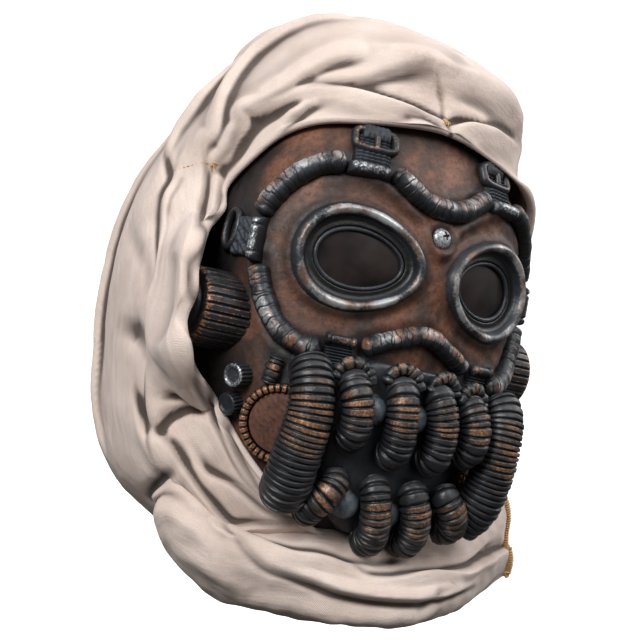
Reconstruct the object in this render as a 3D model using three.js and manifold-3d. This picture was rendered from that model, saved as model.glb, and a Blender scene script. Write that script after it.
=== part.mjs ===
// Costume mask in the style of a gas mask: a moulded latex mask over the whole head, with hoses,
// goggles and straps on it, and a cloth hood sewn on round the face.
// Millimetres, +Z up. The face looks along -Y and +X is the wearer's left.
// The origin is the top of the hollow for the head.
import * as THREE from "three";
import { mergeVertices } from "three/addons/utils/BufferGeometryUtils.js";
import Module from "manifold-3d";

// Latex head
const headHalfWidth = 92;
const headFront = 107;
const headBack = 104;
const headHeight = 309;
const shellWall = 3;
const seatGap = 0.3;

// Goggles
const lensHalfWidth = 36.5;
const lensHalfHeight = 28;
const lensTaper = 0.16;
const rimWidth = 5.5;
const rimStandOut = 6;
const rimDepth = 21;
const recessWidth = 6;
const recessDepth = 8;
const beadWidth = 2.4;
const paneThickness = 2;

// Tubes, straps and buckles
const tubeRadius = 5.8;
const noseTubeRadius = 5.2;
const topStrapWidth = 22;
const topStrapLength = 15;
const strapThickness = 4;
const buckleWidth = 26;
const buckleHeight = 15;
const buckleBar = 3.6;
const buckleThickness = 4.5;
const clipWidth = 24;
const clipHeight = 7;
const clipStandOut = 9;
const templeStrapHeight = 22;
const templeStrapLength = 15;
const ringHalfHeight = 12;
const ringHalfWidth = 7;
const rollerLength = 17;
const rollerRadius = 3.2;
const lowerStrapWidth = 16;
const lowerStrapHeight = 13;
const lowerStrapRidges = 4;
const lowerStrapRidge = 1.2;

// Cheek pieces
const canisterRadius = 21;
const canisterReach = 18;
const canisterRibs = 18;
const canisterRibDepth = 1.4;
const canisterLidRadius = 14;
const canisterLidStandOut = 2.5;
const canisterForward = 47.5;
const largeKnobRadius = 6.5;
const largeKnobLength = 9;
const smallKnobRadius = 6.2;
const smallKnobLength = 7;
const knobFacets = 12;
const portRadius = 16.5;
const portRingWidth = 4.5;
const portRingStandOut = 5;
const portDiscStandOut = 3;
const portPads = 9;
const portPadDepth = 1;
const portFacets = 14;
const screwRadius = 5.1;
const screwStandOut = 3;
const screwSlot = 1.5;

// Mouth
const plateThickness = 8;
const domeRadius = 8;
const hoseRadius = 9;
const lowerHoseRadius = 8.6;
const sideHoseRadius = 11;
const sideHoseLowerRadius = 13.5;
const hoseRibDepth = 1.3;
const archRadius = 3.6;
const archRibDepth = 0.8;
const feederRadius = 4.2;

// Cloth. Its looseness is added to the head's own sizes.
const clothWall = 2;
const clothClear = 2;
const clothHug = 45;
const hoodLooseRight = 37;
const hoodLooseLeft = 30;
const hoodLooseFront = 5;
const hoodLooseBack = 21;
const hoodRise = 27;
const hoodOverhang = 4;
const pleatWidth = 60;
const pleatDepth = 8;
const flapStandOut = 18;
const wrapLoose = 20;
const wrapHeight = 52;
const wrapLap = 4;

const degrees = Math.PI / 180;
const sides = ["right", "left"];
const sideSign = { right: -1, left: 1 };

// A short table: each row becomes an object with the named columns.
function table(names, rows) {
  const columns = names.split(" ");
  return rows.map((row) => Object.fromEntries(columns.map((name, i) => [name, row[i]])));
}

function smoothStep(t) {
  const u = Math.min(Math.max(t, 0), 1);
  return u * u * (3 - 2 * u);
}

// A smooth curve through the values of one column, at a place from 0 to 1 along the rows.
function along(rows, name, place) {
  const last = rows.length - 1;
  const u = Math.min(Math.max(place, 0), 1) * last;
  const i = Math.min(Math.floor(u), last - 1);
  const f = u - i;
  const pick = (k) => rows[Math.min(Math.max(k, 0), last)][name];
  const [a, b, c, d] = [pick(i - 1), pick(i), pick(i + 1), pick(i + 2)];
  return 0.5 * (2 * b + (c - a) * f + (2 * a - 5 * b + 4 * c - d) * f * f + (3 * b - a - 3 * c + d) * f ** 3);
}

// The place along the rows where a rising column reaches a value.
function placeOf(rows, name, value) {
  let low = 0;
  let high = 1;
  for (let i = 0; i < 40; i += 1) {
    const middle = (low + high) / 2;
    if (along(rows, name, middle) < value) low = middle;
    else high = middle;
  }
  return (low + high) / 2;
}

// Sections of the head. drop is a share of its height below the crown, side, front and back are
// shares of its half width and depths, wedge draws the cheeks back, corner squares the section.
const headSections = table("drop side front back wedge corner", [
  [0, 0, 0, 0, 0, 2.2],
  [0.012, 0.3, 0.26, 0.34, 0, 2.2],
  [0.045, 0.56, 0.5, 0.62, 0, 2.3],
  [0.1, 0.74, 0.7, 0.82, 0, 2.6],
  [0.155, 0.83, 0.8, 0.91, 0.04, 3],
  [0.235, 0.9, 0.915, 0.97, 0.1, 3.6],
  [0.33, 0.97, 0.985, 1, 0.22, 5],
  [0.392, 1, 1, 1, 0.27, 5.5],
  [0.5, 0.985, 0.99, 0.95, 0.22, 4.5],
  [0.634, 0.935, 0.95, 0.8, 0.1, 4],
  [0.78, 0.8, 0.88, 0.62, 0.05, 3.2],
  [0.86, 0.7, 0.76, 0.52, 0, 2.6],
  [0.93, 0.6, 0.6, 0.45, 0, 2.2],
  [1, 0.6, 0.56, 0.45, 0, 2.2],
]);

// Point of the head's outside at an angle from the front, and at a place along the sections.
function headPointAt(angle, place) {
  const value = (name) => along(headSections, name, place);
  const [s, c] = [Math.sin(angle), Math.cos(angle)];
  const depth = Math.max(c >= 0 ? value("front") * headFront : value("back") * headBack, 1e-4);
  const corner = c >= 0 ? value("corner") : 2.3;
  const halfWidth = Math.max(value("side") * headHalfWidth, 1e-4);
  const radius = (Math.abs(s / halfWidth) ** corner + Math.abs(c / depth) ** corner) ** (-1 / corner);
  const x = radius * s;
  const wedge = c >= 0 ? 1 - (value("wedge") * Math.abs(x)) / depth : 1;
  return new THREE.Vector3(x, -radius * c * wedge, shellWall - value("drop") * headHeight);
}

// Frame of the head's outside at an angle in degrees and a drop: a point, the way out of the
// surface, the way across it towards the wearer's left, and the way up along it.
function headFrame(angle, drop) {
  const a = angle * degrees;
  const place = Math.max(placeOf(headSections, "drop", drop), 0.02);
  const across = headPointAt(a + 0.02, place).sub(headPointAt(a - 0.02, place)).normalize();
  const rise = headPointAt(a, place - 0.004).sub(headPointAt(a, place + 0.004)).normalize();
  const out = new THREE.Vector3().crossVectors(across, rise).normalize();
  const up = new THREE.Vector3().crossVectors(out, across).normalize();
  return { point: headPointAt(a, place), out, across, up };
}

function onHead(angle, drop, lift) {
  const frame = headFrame(angle, drop);
  return frame.point.addScaledVector(frame.out, lift);
}

const wasm = await Module();
wasm.setup();

// A closed mesh as a solid, with its faces turned outwards.
function solidOf(geometry) {
  const bare = geometry.clone();
  bare.deleteAttribute("normal");
  bare.deleteAttribute("uv");
  const merged = mergeVertices(bare, 1e-4);
  const points = merged.attributes.position.array;
  const faces = Uint32Array.from(merged.index.array);
  let volume = 0;
  const corner = [new THREE.Vector3(), new THREE.Vector3(), new THREE.Vector3()];
  for (let i = 0; i < faces.length; i += 3) {
    corner.forEach((v, k) => v.fromArray(points, faces[i + k] * 3));
    volume += corner[0].dot(corner[1].clone().cross(corner[2]));
  }
  if (volume < 0) {
    for (let i = 0; i < faces.length; i += 3) [faces[i], faces[i + 1]] = [faces[i + 1], faces[i]];
  }
  return new wasm.Manifold(new wasm.Mesh({ numProp: 3, vertProperties: points, triVerts: faces }));
}

// A solid through rings of points, one after another: a stack closed by a point at each end, or
// a loop that meets itself. From the ring flipFrom on, its faces are split the other way.
function ringSolid(rings, loop = false, flipFrom = Infinity) {
  const count = rings[0].length;
  const positions = rings.flat().flatMap((p) => [p.x, p.y, p.z]);
  const index = [];
  const bands = loop ? rings.length : rings.length - 1;
  for (let i = 0; i < bands; i += 1) {
    const next = (i + 1) % rings.length;
    for (let j = 0; j < count; j += 1) {
      const k = (j + 1) % count;
      const [a, b, c, d] = [i * count + j, i * count + k, next * count + k, next * count + j];
      if (i < flipFrom) index.push(a, b, c, a, c, d);
      else index.push(a, b, d, b, c, d);
    }
  }
  if (!loop) {
    const cap = (ring, base, flip) => {
      const middle = ring.reduce((sum, p) => sum.add(p), new THREE.Vector3()).divideScalar(count);
      const tip = positions.length / 3;
      positions.push(middle.x, middle.y, middle.z);
      for (let j = 0; j < count; j += 1) {
        const k = (j + 1) % count;
        if (flip) index.push(base + k, base + j, tip);
        else index.push(base + j, base + k, tip);
      }
    };
    cap(rings[0], 0, true);
    cap(rings.at(-1), (rings.length - 1) * count, false);
  }
  const geometry = new THREE.BufferGeometry();
  geometry.setAttribute("position", new THREE.Float32BufferAttribute(positions, 3));
  geometry.setIndex(index);
  return solidOf(geometry);
}

// A wall between two stacks of rings, with both faces split alike.
function wallSolid(outside, inside) {
  return ringSolid([...outside, ...[...inside].reverse()], false, outside.length);
}

// A round bar along points, with a radius for each point. Its section is carried along without
// twisting.
function bar(points, radii, count) {
  const rings = [];
  let side = null;
  points.forEach((point, i) => {
    const before = points[Math.max(i - 1, 0)];
    const after = points[Math.min(i + 1, points.length - 1)];
    const way = after.clone().sub(before).normalize();
    if (side === null) {
      side = new THREE.Vector3(0, 0, 1).cross(way);
      if (side.length() < 0.1) side = new THREE.Vector3(1, 0, 0).cross(way);
    }
    side.addScaledVector(way, -side.dot(way)).normalize();
    const other = new THREE.Vector3().crossVectors(way, side);
    const ring = [];
    for (let j = 0; j < count; j += 1) {
      const turn = (j / count) * 2 * Math.PI;
      const spoke = side.clone().multiplyScalar(Math.cos(turn)).addScaledVector(other, Math.sin(turn));
      ring.push(point.clone().addScaledVector(spoke, radii[i]));
    }
    rings.push(ring);
  });
  return ringSolid(rings);
}

// Points along a route that is given on the head by angle, drop and lift.
function headRoute(rows, steps) {
  const spread = headHeight;
  const curve = new THREE.CatmullRomCurve3(
    rows.map((row) => new THREE.Vector3(row.angle, row.drop * spread, row.lift)),
  );
  return curve.getPoints(steps).map((p) => onHead(p.x, p.y / spread, p.z));
}

// A shape pushed out to a thickness, standing on the head: its middle lies at an angle and drop,
// its own y runs up the head, and it starts below the surface by a depth.
function onHeadShape(shape, angle, drop, thickness, depth, turn = 0) {
  const geometry = new THREE.ExtrudeGeometry(shape, { depth: thickness + depth, bevelEnabled: false });
  geometry.translate(0, 0, -depth);
  geometry.rotateZ(turn);
  const frame = headFrame(angle, drop);
  const place = new THREE.Matrix4().makeBasis(frame.across, frame.up, frame.out);
  place.setPosition(frame.point);
  return solidOf(geometry.applyMatrix4(place));
}

function box(left, right, low, high) {
  return [[left, low], [right, low], [right, high], [left, high]].map(([x, y]) => new THREE.Vector2(x, y));
}

function rectangle(width, height, shift = 0) {
  return new THREE.Shape(box(-width / 2, width / 2, shift - height / 2, shift + height / 2));
}

function oval(halfWidth, halfHeight, count) {
  const points = [];
  for (let i = 0; i < count; i += 1) {
    const turn = (i / count) * 2 * Math.PI;
    points.push(new THREE.Vector2(halfWidth * Math.cos(turn), halfHeight * Math.sin(turn)));
  }
  return points;
}

// A toothed round outline: each pad has a flat top and a narrow vee beside it.
function toothed(outer, inner, pads, padShare) {
  const points = [];
  for (let i = 0; i < pads; i += 1) {
    const corners = [[0, outer], [padShare, outer], [(1 + padShare) / 2, inner]];
    corners.forEach(([share, radius]) => {
      const turn = ((i + share) / pads) * 2 * Math.PI;
      points.push(new THREE.Vector2(radius * Math.cos(turn), radius * Math.sin(turn)));
    });
  }
  return points;
}

// Angles and drops where the mesh of the head has its corners. It ends at the neck.
const leftAngles = [21, 38, 52, 66.5, 78.5, 92, 115, 148];
const headAngles = [0, ...leftAngles, 180, ...[...leftAngles].reverse().map((angle) => -angle)];
const neckDrop = 0.93;
const headDrops = [0.006, 0.045, 0.1, 0.18, 0.27, 0.36, 0.46, 0.56, 0.66, 0.76, 0.85, neckDrop];

function headRings(lift) {
  return headDrops.map((drop) => headAngles.map((angle) => onHead(angle, drop, lift)));
}

// The head as a full block, grown by a lift. What sits on the latex is cut by it.
function headBlock(lift) {
  const rings = headRings(lift);
  const below = rings.at(-1).map((p) => p.clone().add(new THREE.Vector3(0, 0, -headHeight / 10)));
  return ringSolid([...rings, below]);
}
const seat = headBlock(seatGap);

function makeShell() {
  const outside = headRings(0);
  const inside = headRings(-shellWall);
  inside.forEach((ring) => ring.forEach((p) => { p.z = Math.min(p.z, 0); }));
  const floor = outside.at(-1)[0].z;
  inside.at(-1).forEach((p) => { p.z = floor; });
  return wallSolid(outside, inside);
}

// Lens outline at a distance inside its outer edge: an oval that narrows towards the nose.
const lensPoints = 14;
function lensOutline(side, inset) {
  return oval(lensHalfWidth - inset, lensHalfHeight - inset, lensPoints).map((p) => {
    const towardsNose = (-sideSign[side] * p.x) / lensHalfWidth;
    return new THREE.Vector2(p.x, p.y * (1 - lensTaper * towardsNose));
  });
}

// Frame of a lens: its middle, its way out, across and up.
const lensAngle = 21.4;
const lensDrop = 0.389;
const lensTurn = 18;
function lensMatrix(side) {
  const middle = onHead(sideSign[side] * lensAngle, lensDrop, 0);
  const turn = sideSign[side] * lensTurn * degrees;
  const out = new THREE.Vector3(Math.sin(turn), -Math.cos(turn), 0);
  const up = new THREE.Vector3(0, 0, 1);
  const across = new THREE.Vector3().crossVectors(up, out);
  return new THREE.Matrix4().makeBasis(across, up, out).setPosition(middle);
}

// A ring solid from a section of inset and height rows, carried round the lens outline.
function lensRing(side, section) {
  const place = lensMatrix(side);
  const rings = [];
  for (let i = 0; i < lensPoints; i += 1) {
    rings.push(section.map((row) => {
      const p = lensOutline(side, row.inset)[i];
      return new THREE.Vector3(p.x, p.y, row.height).applyMatrix4(place);
    }));
  }
  return ringSolid(rings, true);
}

function lensPlug(side, inset, low, high) {
  const place = lensMatrix(side);
  const ring = (height) => lensOutline(side, inset)
    .map((p) => new THREE.Vector3(p.x, p.y, height).applyMatrix4(place));
  return ringSolid([ring(low), ring(high)]);
}

const paneHeight = rimStandOut - recessDepth;
const paneInset = rimWidth + recessWidth;

function makeRim(side) {
  return lensRing(side, table("inset height", [
    [0, -rimDepth],
    [0, rimStandOut * 0.5],
    [rimWidth * 0.3, rimStandOut],
    [rimWidth * 0.8, rimStandOut * 0.9],
    [paneInset - seatGap, paneHeight + beadWidth],
    [paneInset - seatGap, -rimDepth],
  ]));
}

function makeBead(side) {
  return lensRing(side, table("inset height", [
    [paneInset, paneHeight],
    [paneInset, paneHeight + beadWidth],
    [paneInset + beadWidth * 0.6, paneHeight + beadWidth],
    [paneInset + beadWidth, paneHeight],
  ]));
}

function makePane(side) {
  return lensPlug(side, paneInset, paneHeight - seatGap - paneThickness, paneHeight - seatGap);
}

// Tubes: each route is a short list of places on the head, for the wearer's left side.
const templeTubeRoute = table("angle drop lift", [
  [46.5, 0.348, 2.5], [45.5, 0.318, 3], [41.5, 0.271, 3], [36, 0.244, 3], [31, 0.236, 3],
]);
const cheekTubeRoute = table("angle drop lift", [
  [44, 0.43, 3], [41.5, 0.485, 3], [37.5, 0.53, 3], [32.5, 0.549, 3], [28, 0.551, 3],
]);
const browTubeRoute = table("angle drop lift", [
  [-17.5, 0.232, 2.6], [-8, 0.266, 2.6], [0, 0.276, 2.6], [8, 0.266, 2.6], [17.5, 0.232, 2.6],
]);
const noseTubeRoute = table("angle drop lift", [
  [-17.5, 0.535, 2.6], [-10, 0.513, 2.6], [0, 0.493, 2.6], [10, 0.513, 2.6], [17.5, 0.535, 2.6],
]);

function mirrored(rows, side) {
  return rows.map((row) => ({ ...row, angle: row.angle * sideSign[side] }));
}

function tube(rows, radius, steps, grow = 0) {
  const points = headRoute(rows, steps);
  return bar(points, points.map(() => radius + grow), 6);
}

// Ribbed hose: the radius swells at each rib and may grow from the top to the bottom.
// With a grow it is the plain room that its neighbours keep free.
function ribbedHose(rows, top, bottom, ribs, depth, count, grow = 0) {
  const points = headRoute(rows, grow === 0 ? ribs * 2 : ribs);
  const radii = points.map((_, i) => {
    const radius = top + (bottom - top) * (i / (points.length - 1));
    return radius + grow - (i % 2 === 0 && grow === 0 ? depth : 0);
  });
  return bar(points, radii, count);
}

// Mouth hoses, numbered from the wearer's right. Each row gives the top, middle and bottom.
const mouthHoses = table("name a0 d0 a1 d1 a2 d2 ribs low", [
  ["upper_hose_1", -20, 0.588, -19, 0.629, -18.5, 0.676, 7, 0],
  ["upper_hose_2", -6, 0.582, -5.5, 0.632, -5, 0.694, 7, 0],
  ["upper_hose_3", 5.5, 0.582, 7.5, 0.633, 8.5, 0.694, 7, 0],
  ["upper_hose_4", 18.5, 0.59, 19.5, 0.629, 20.5, 0.672, 7, 0],
  ["lower_hose_1", -20, 0.742, -21.5, 0.77, -24, 0.8, 5, 1],
  ["lower_hose_2", -7.5, 0.744, -6, 0.787, -3.5, 0.832, 6, 1],
  ["lower_hose_3", 6, 0.744, 8.5, 0.787, 11, 0.828, 6, 1],
  ["lower_hose_4", 18.5, 0.738, 21.5, 0.77, 25, 0.8, 5, 1],
]);

function mouthHose(row, grow = 0) {
  const radius = row.low ? lowerHoseRadius : hoseRadius;
  const high = plateThickness + radius + seatGap;
  const route = table("angle drop lift", [
    [row.a0, row.d0, plateThickness],
    [row.a0, row.d0 + 0.012, high - radius * 0.4],
    [row.a1, row.d1, high],
    [row.a2, row.d2 - 0.008, high - radius * 0.25],
    [row.a2, row.d2 + 0.01, plateThickness * 0.8],
  ]);
  return ribbedHose(route, radius * 0.92, radius, row.ribs, hoseRibDepth, 6, grow);
}

const sideHoseRoute = table("angle drop lift", [
  [30.5, 0.572, 8], [30, 0.6, 15], [29.5, 0.65, 18.5], [30, 0.7, 19], [30.5, 0.75, 17.5], [31, 0.79, 11],
]);
function sideHose(side, grow = 0) {
  const route = mirrored(sideHoseRoute, side);
  return ribbedHose(route, sideHoseRadius, sideHoseLowerRadius, 12, hoseRibDepth, 6, grow);
}

// Raised muzzle under the hoses, with a smooth dome between each two hoses.
const domes = table("angle drop", [
  [-12.3, 0.632], [1, 0.632], [13.5, 0.632], [-13.8, 0.79], [1.2, 0.795], [15, 0.79],
]);
const plateRows = table("drop reach", [
  [0.548, 14], [0.59, 23], [0.7, 24], [0.79, 23], [0.84, 12],
]);
function mouthPlate(grow) {
  const steps = [-1, -0.75, -0.4, 0, 0.4, 0.75, 1];
  const rings = plateRows.map((row) => {
    const top = steps.map((s) => onHead(s * row.reach, row.drop, plateThickness * (1 - 0.5 * s ** 4) + grow));
    const under = [...steps].reverse().map((s) => onHead(s * row.reach, row.drop, -shellWall));
    return [...top, ...under];
  });
  let plate = ringSolid(rings);
  domes.forEach((dome) => {
    const ball = new THREE.SphereGeometry(domeRadius + grow, 6, 4);
    const at = onHead(dome.angle, dome.drop, plateThickness - domeRadius * 0.3);
    plate = plate.add(solidOf(ball.translate(at.x, at.y, at.z)));
  });
  return plate;
}

const archRows = table("name a0 a1 drop", [
  ["hose_arch_1", -25, -15, 0.572],
  ["hose_arch_2", -11, -0.5, 0.562],
  ["hose_arch_3", 1.5, 11.5, 0.562],
  ["hose_arch_4", 14, 23, 0.572],
]);
function archHose(row) {
  const high = plateThickness + archRadius;
  const route = table("angle drop lift", [
    [row.a0, row.drop + 0.022, high],
    [row.a0 + 1.6, row.drop, high],
    [(row.a0 + row.a1) / 2, row.drop - 0.01, high],
    [row.a1 - 1.6, row.drop, high],
    [row.a1, row.drop + 0.022, high],
  ]);
  return ribbedHose(route, archRadius, archRadius, 3, archRibDepth, 5);
}

const feederRoute = table("angle drop lift", [[37.5, 0.575, 2.5], [38.5, 0.6, 3.4], [39.5, 0.622, 2.5]]);
function feederHose(side, grow = 0) {
  return ribbedHose(mirrored(feederRoute, side), feederRadius, feederRadius, 3, archRibDepth, 5, grow);
}

// Straps, buckles and clips. Angles and drops are those of the wearer's left side.
const strapPlaces = {
  topBuckle: { angle: 24.5, drop: 0.187 },
  topStrap: { angle: 24.7, drop: 0.2165 },
  topClip: { angle: 24.8, drop: 0.2425 },
  templeBuckle: { angle: 55.8, drop: 0.375 },
  templeStrap: { angle: 50.5, drop: 0.385 },
  templeClip: { angle: 45, drop: 0.3885 },
  lowerRoller: { angle: 23.5, drop: 0.53 },
  lowerStrap: { angle: 23.5, drop: 0.553 },
};

const padDepth = 6;
function padAt(side, place, shape, thickness, turn = 0, depth = padDepth) {
  return onHeadShape(shape, sideSign[side] * place.angle, place.drop, thickness, depth, turn);
}

// Buckle frame with a prong across its middle.
function makeTopBuckle(side) {
  const [halfWidth, halfHeight] = [buckleWidth / 2, buckleHeight / 2 - buckleBar];
  const frame = padAt(side, strapPlaces.topBuckle, rectangle(buckleWidth, buckleHeight), buckleThickness);
  const holes = [[buckleBar / 2, halfWidth - buckleBar], [buckleBar - halfWidth, -buckleBar / 2]];
  return holes.reduce((left, [from, to]) => {
    const hole = new THREE.Shape(box(from, to, -halfHeight, halfHeight));
    return left.subtract(padAt(side, strapPlaces.topBuckle, hole, buckleThickness * 2, 0, padDepth * 2));
  }, frame);
}

function makeTempleBuckle(side) {
  const shape = new THREE.Shape(oval(ringHalfWidth, ringHalfHeight, 8));
  shape.holes.push(new THREE.Path(oval(ringHalfWidth - buckleBar, ringHalfHeight - buckleBar, 8)));
  return padAt(side, strapPlaces.templeBuckle, shape, buckleThickness);
}

function makeRoller(side) {
  const frame = headFrame(sideSign[side] * strapPlaces.lowerRoller.angle, strapPlaces.lowerRoller.drop);
  const start = frame.point.clone().addScaledVector(frame.out, rollerRadius * 1.6);
  const ends = [-0.5, 0.5].map((s) => start.clone().addScaledVector(frame.across, s * rollerLength));
  return bar(ends, [rollerRadius, rollerRadius], 8);
}

// Strap below the roller: its side profile steps out in ridges, and runs the strap's width.
function makeLowerStrap(side) {
  const pitch = lowerStrapHeight / lowerStrapRidges;
  const bottom = -lowerStrapHeight / 2;
  const points = [[bottom + lowerStrapHeight, -padDepth], [bottom, -padDepth]];
  for (let i = 0; i < lowerStrapRidges; i += 1) {
    const start = bottom + i * pitch;
    points.push([start, strapThickness], [start + pitch * 0.3, strapThickness + lowerStrapRidge]);
    points.push([start + pitch * 0.7, strapThickness + lowerStrapRidge]);
  }
  points.push([bottom + lowerStrapHeight, strapThickness]);
  const shape = new THREE.Shape(points.map(([y, out]) => new THREE.Vector2(y, out)));
  const geometry = new THREE.ExtrudeGeometry(shape, { depth: lowerStrapWidth, bevelEnabled: false });
  geometry.translate(0, 0, -lowerStrapWidth / 2);
  const frame = headFrame(sideSign[side] * strapPlaces.lowerStrap.angle, strapPlaces.lowerStrap.drop);
  const place = new THREE.Matrix4().makeBasis(frame.up, frame.out, frame.across).setPosition(frame.point);
  return solidOf(geometry.applyMatrix4(place));
}

// Ribbed drum on the cheek, its axis level and square to the middle plane.
const canisterDrop = 0.516;
const canisterRoot = headHalfWidth / 4;
function canisterMatrix(side) {
  const out = new THREE.Vector3(sideSign[side], 0, 0);
  const up = new THREE.Vector3(0, 0, 1);
  const across = new THREE.Vector3().crossVectors(up, out);
  const z = shellWall - canisterDrop * headHeight;
  return new THREE.Matrix4().makeBasis(across, up, out)
    .setPosition(sideSign[side] * headHalfWidth, -canisterForward, z);
}

function makeCanister(side) {
  const outline = toothed(canisterRadius, canisterRadius - canisterRibDepth, canisterRibs, 0.8);
  const drum = new THREE.ExtrudeGeometry(new THREE.Shape(outline), {
    depth: canisterReach + canisterRoot,
    bevelEnabled: false,
  });
  drum.translate(0, 0, -canisterRoot);
  const lid = new THREE.CylinderGeometry(canisterLidRadius, canisterLidRadius, canisterLidStandOut * 2, 14);
  lid.rotateX(Math.PI / 2).translate(0, 0, canisterReach);
  const place = canisterMatrix(side);
  return solidOf(drum.applyMatrix4(place)).add(solidOf(lid.applyMatrix4(place)));
}

const knobPlaces = {
  large: { angle: 47.5, drop: 0.616 },
  small: { angle: 50, drop: 0.664 },
  port: { angle: 35.5, drop: 0.683 },
};
function makeKnob(side, place, radius, length) {
  return padAt(side, place, new THREE.Shape(oval(radius, radius, knobFacets)), length);
}

function makePortRing(side) {
  const outer = portRadius + portRingWidth;
  const ring = new THREE.Shape(toothed(outer, outer - portPadDepth, portPads, 0.76));
  ring.holes.push(new THREE.Path(oval(portRadius, portRadius, portFacets)));
  return padAt(side, knobPlaces.port, ring, portRingStandOut);
}

function makePort(side, radius, standOut) {
  return padAt(side, knobPlaces.port, new THREE.Shape(oval(radius, radius, portFacets)), standOut);
}

// Screw between the brows, with two slots across its head.
function makeScrew() {
  const place = { angle: 0, drop: 0.3235 };
  const head = padAt("left", place, new THREE.Shape(oval(screwRadius, screwRadius, 12)), screwStandOut);
  const slot = rectangle(screwRadius * 1.5, screwSlot);
  const cut = (turn) => padAt("left", place, slot, screwStandOut * 2, turn, -screwStandOut * 0.5);
  return head.subtract(cut(0.3).add(cut(0.3 + Math.PI / 2)));
}

// Stations of the hood round the face opening, from under the chin up the wearer's right to the
// middle of the forehead. edge and edgeDrop are the opening's edge on the head. The cloth runs
// from there through two places on the hood (an angle and a level) to its neck rim. spread is
// the width of the pleats there as a share of the pleat width, depth their share of its depth.
// On the wearer's left the edge lies further back behind the drum, and flares out by a share.
const hoodStations = table("edge edgeDrop via1 level1 via2 level2 rim spread depth leftEdge leftSpread flare", [
  [0, 0.872, 0, 0.93, 0, 0.965, 0, 0.3, 0.5, 0, 0.3, 0],
  [18, 0.85, 22, 0.92, 23, 0.962, 22, 0.34, 0.6, 18, 0.34, 0],
  [33, 0.8, 42, 0.89, 45, 0.95, 42, 0.5, 0.7, 33, 0.45, 0],
  [46, 0.735, 58, 0.84, 62, 0.93, 57, 0.65, 0.8, 47, 0.6, 0],
  [57.5, 0.665, 72, 0.77, 79, 0.9, 70, 0.8, 0.9, 59, 0.7, 0],
  [59, 0.61, 82, 0.69, 92, 0.85, 80, 0.9, 1, 68, 0.8, 0],
  [59.5, 0.55, 90, 0.61, 103, 0.79, 89, 1, 1, 78, 0.8, 0],
  [58, 0.5, 93, 0.54, 110, 0.73, 96, 1, 1, 81, 0.8, 0],
  [60, 0.45, 95, 0.48, 117, 0.67, 103, 0.9, 1, 79, 0.8, 0],
  [65, 0.39, 96, 0.42, 124, 0.61, 110, 0.72, 0.9, 74, 0.75, 0.1],
  [69.5, 0.34, 96, 0.36, 130, 0.555, 117, 0.42, 0.7, 68, 0.7, 0.4],
  [72, 0.3, 95, 0.295, 136, 0.5, 124, 0.24, 0.45, 62, 0.75, 0.8],
  [65, 0.255, 93, 0.235, 141, 0.445, 132, 0.5, 0.7, 59, 0.85, 1],
  [55, 0.205, 91, 0.175, 147, 0.39, 141, 0.95, 1, 53, 1.1, 0.8],
  [44, 0.174, 90, 0.12, 153, 0.34, 150, 1.3, 1.1, 44, 1.3, 0.3],
  [30, 0.156, 90, 0.07, 161, 0.3, 160, 1.5, 1.1, 29, 1.4, 0],
  [14, 0.142, 90, 0.03, 170, 0.265, 170, 1.5, 1, 14, 1.3, 0],
  [0, 0.136, 90, 0.0, 180, 0.25, 180, 1.2, 0.8, 0, 1.2, 0],
]);

// Distance along the head from a place to the edge of the face opening.
function edgeSpot(angle, drop) {
  return new THREE.Vector2(Math.abs(angle) * degrees * headHalfWidth, drop * headHeight);
}

function edgeDistance(angle, drop) {
  const wrapped = Math.atan2(Math.sin(angle * degrees), Math.cos(angle * degrees)) / degrees;
  const edge = wrapped > 0 ? "leftEdge" : "edge";
  const p = edgeSpot(wrapped, drop);
  let best = Infinity;
  for (let i = 0; i + 1 < hoodStations.length; i += 1) {
    const a = edgeSpot(hoodStations[i][edge], hoodStations[i].edgeDrop);
    const b = edgeSpot(hoodStations[i + 1][edge], hoodStations[i + 1].edgeDrop);
    const way = b.sub(a);
    const t = Math.min(Math.max(p.clone().sub(a).dot(way) / way.lengthSq(), 0), 1);
    best = Math.min(best, p.distanceTo(a.addScaledVector(way, t)));
  }
  return best;
}

// Sections of the hood. drop is a share of the hood's height, the rest of its four reaches.
const hoodSections = table("drop right left front back", [
  [0, 0, 0, 0, 0],
  [0.006, 0.2, 0.24, 0.22, 0.2],
  [0.025, 0.34, 0.44, 0.42, 0.368],
  [0.053, 0.45, 0.58, 0.58, 0.496],
  [0.099, 0.545, 0.72, 0.72, 0.616],
  [0.155, 0.63, 0.79, 0.78, 0.71],
  [0.217, 0.72, 0.85, 0.815, 0.79],
  [0.295, 0.81, 0.905, 0.84, 0.86],
  [0.403, 0.91, 0.95, 0.865, 0.94],
  [0.545, 0.96, 0.984, 0.875, 0.98],
  [0.691, 0.94, 0.967, 0.875, 0.955],
  [0.815, 0.89, 0.918, 0.85, 0.9],
  [0.899, 0.81, 0.836, 0.805, 0.82],
  [0.955, 0.64, 0.68, 0.79, 0.66],
  [1, 0.465, 0.51, 0.66, 0.47],
]);
const hoodTop = hoodRise + shellWall;
const hoodHeight = hoodRise + neckDrop * headHeight + hoodOverhang;

// Distance from the upright axis to the cloth where it lies on the latex, and over the drum on
// the wearer's right.
function huggingReach(angle, z) {
  const a = angle * degrees;
  const drop = Math.min(Math.max((shellWall - z) / headHeight, 0.01), 1);
  const skin = headPointAt(a, placeOf(headSections, "drop", drop));
  const onSkin = Math.hypot(skin.x, skin.y) + clothClear;
  const drumZ = shellWall - canisterDrop * headHeight;
  const drumEnd = headHalfWidth + canisterReach + canisterLidStandOut + clothClear * 2;
  const overDrum = drumEnd / Math.max(Math.abs(Math.sin(a)), 0.3);
  const y = -overDrum * Math.cos(a);
  const away = Math.hypot(y + canisterForward, z - drumZ) - canisterRadius;
  const share = angle < 0 ? 1 - smoothStep((away - 4) / (canisterRadius * 1.5)) : 0;
  return onSkin + Math.max(overDrum - onSkin, 0) * share;
}

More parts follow.
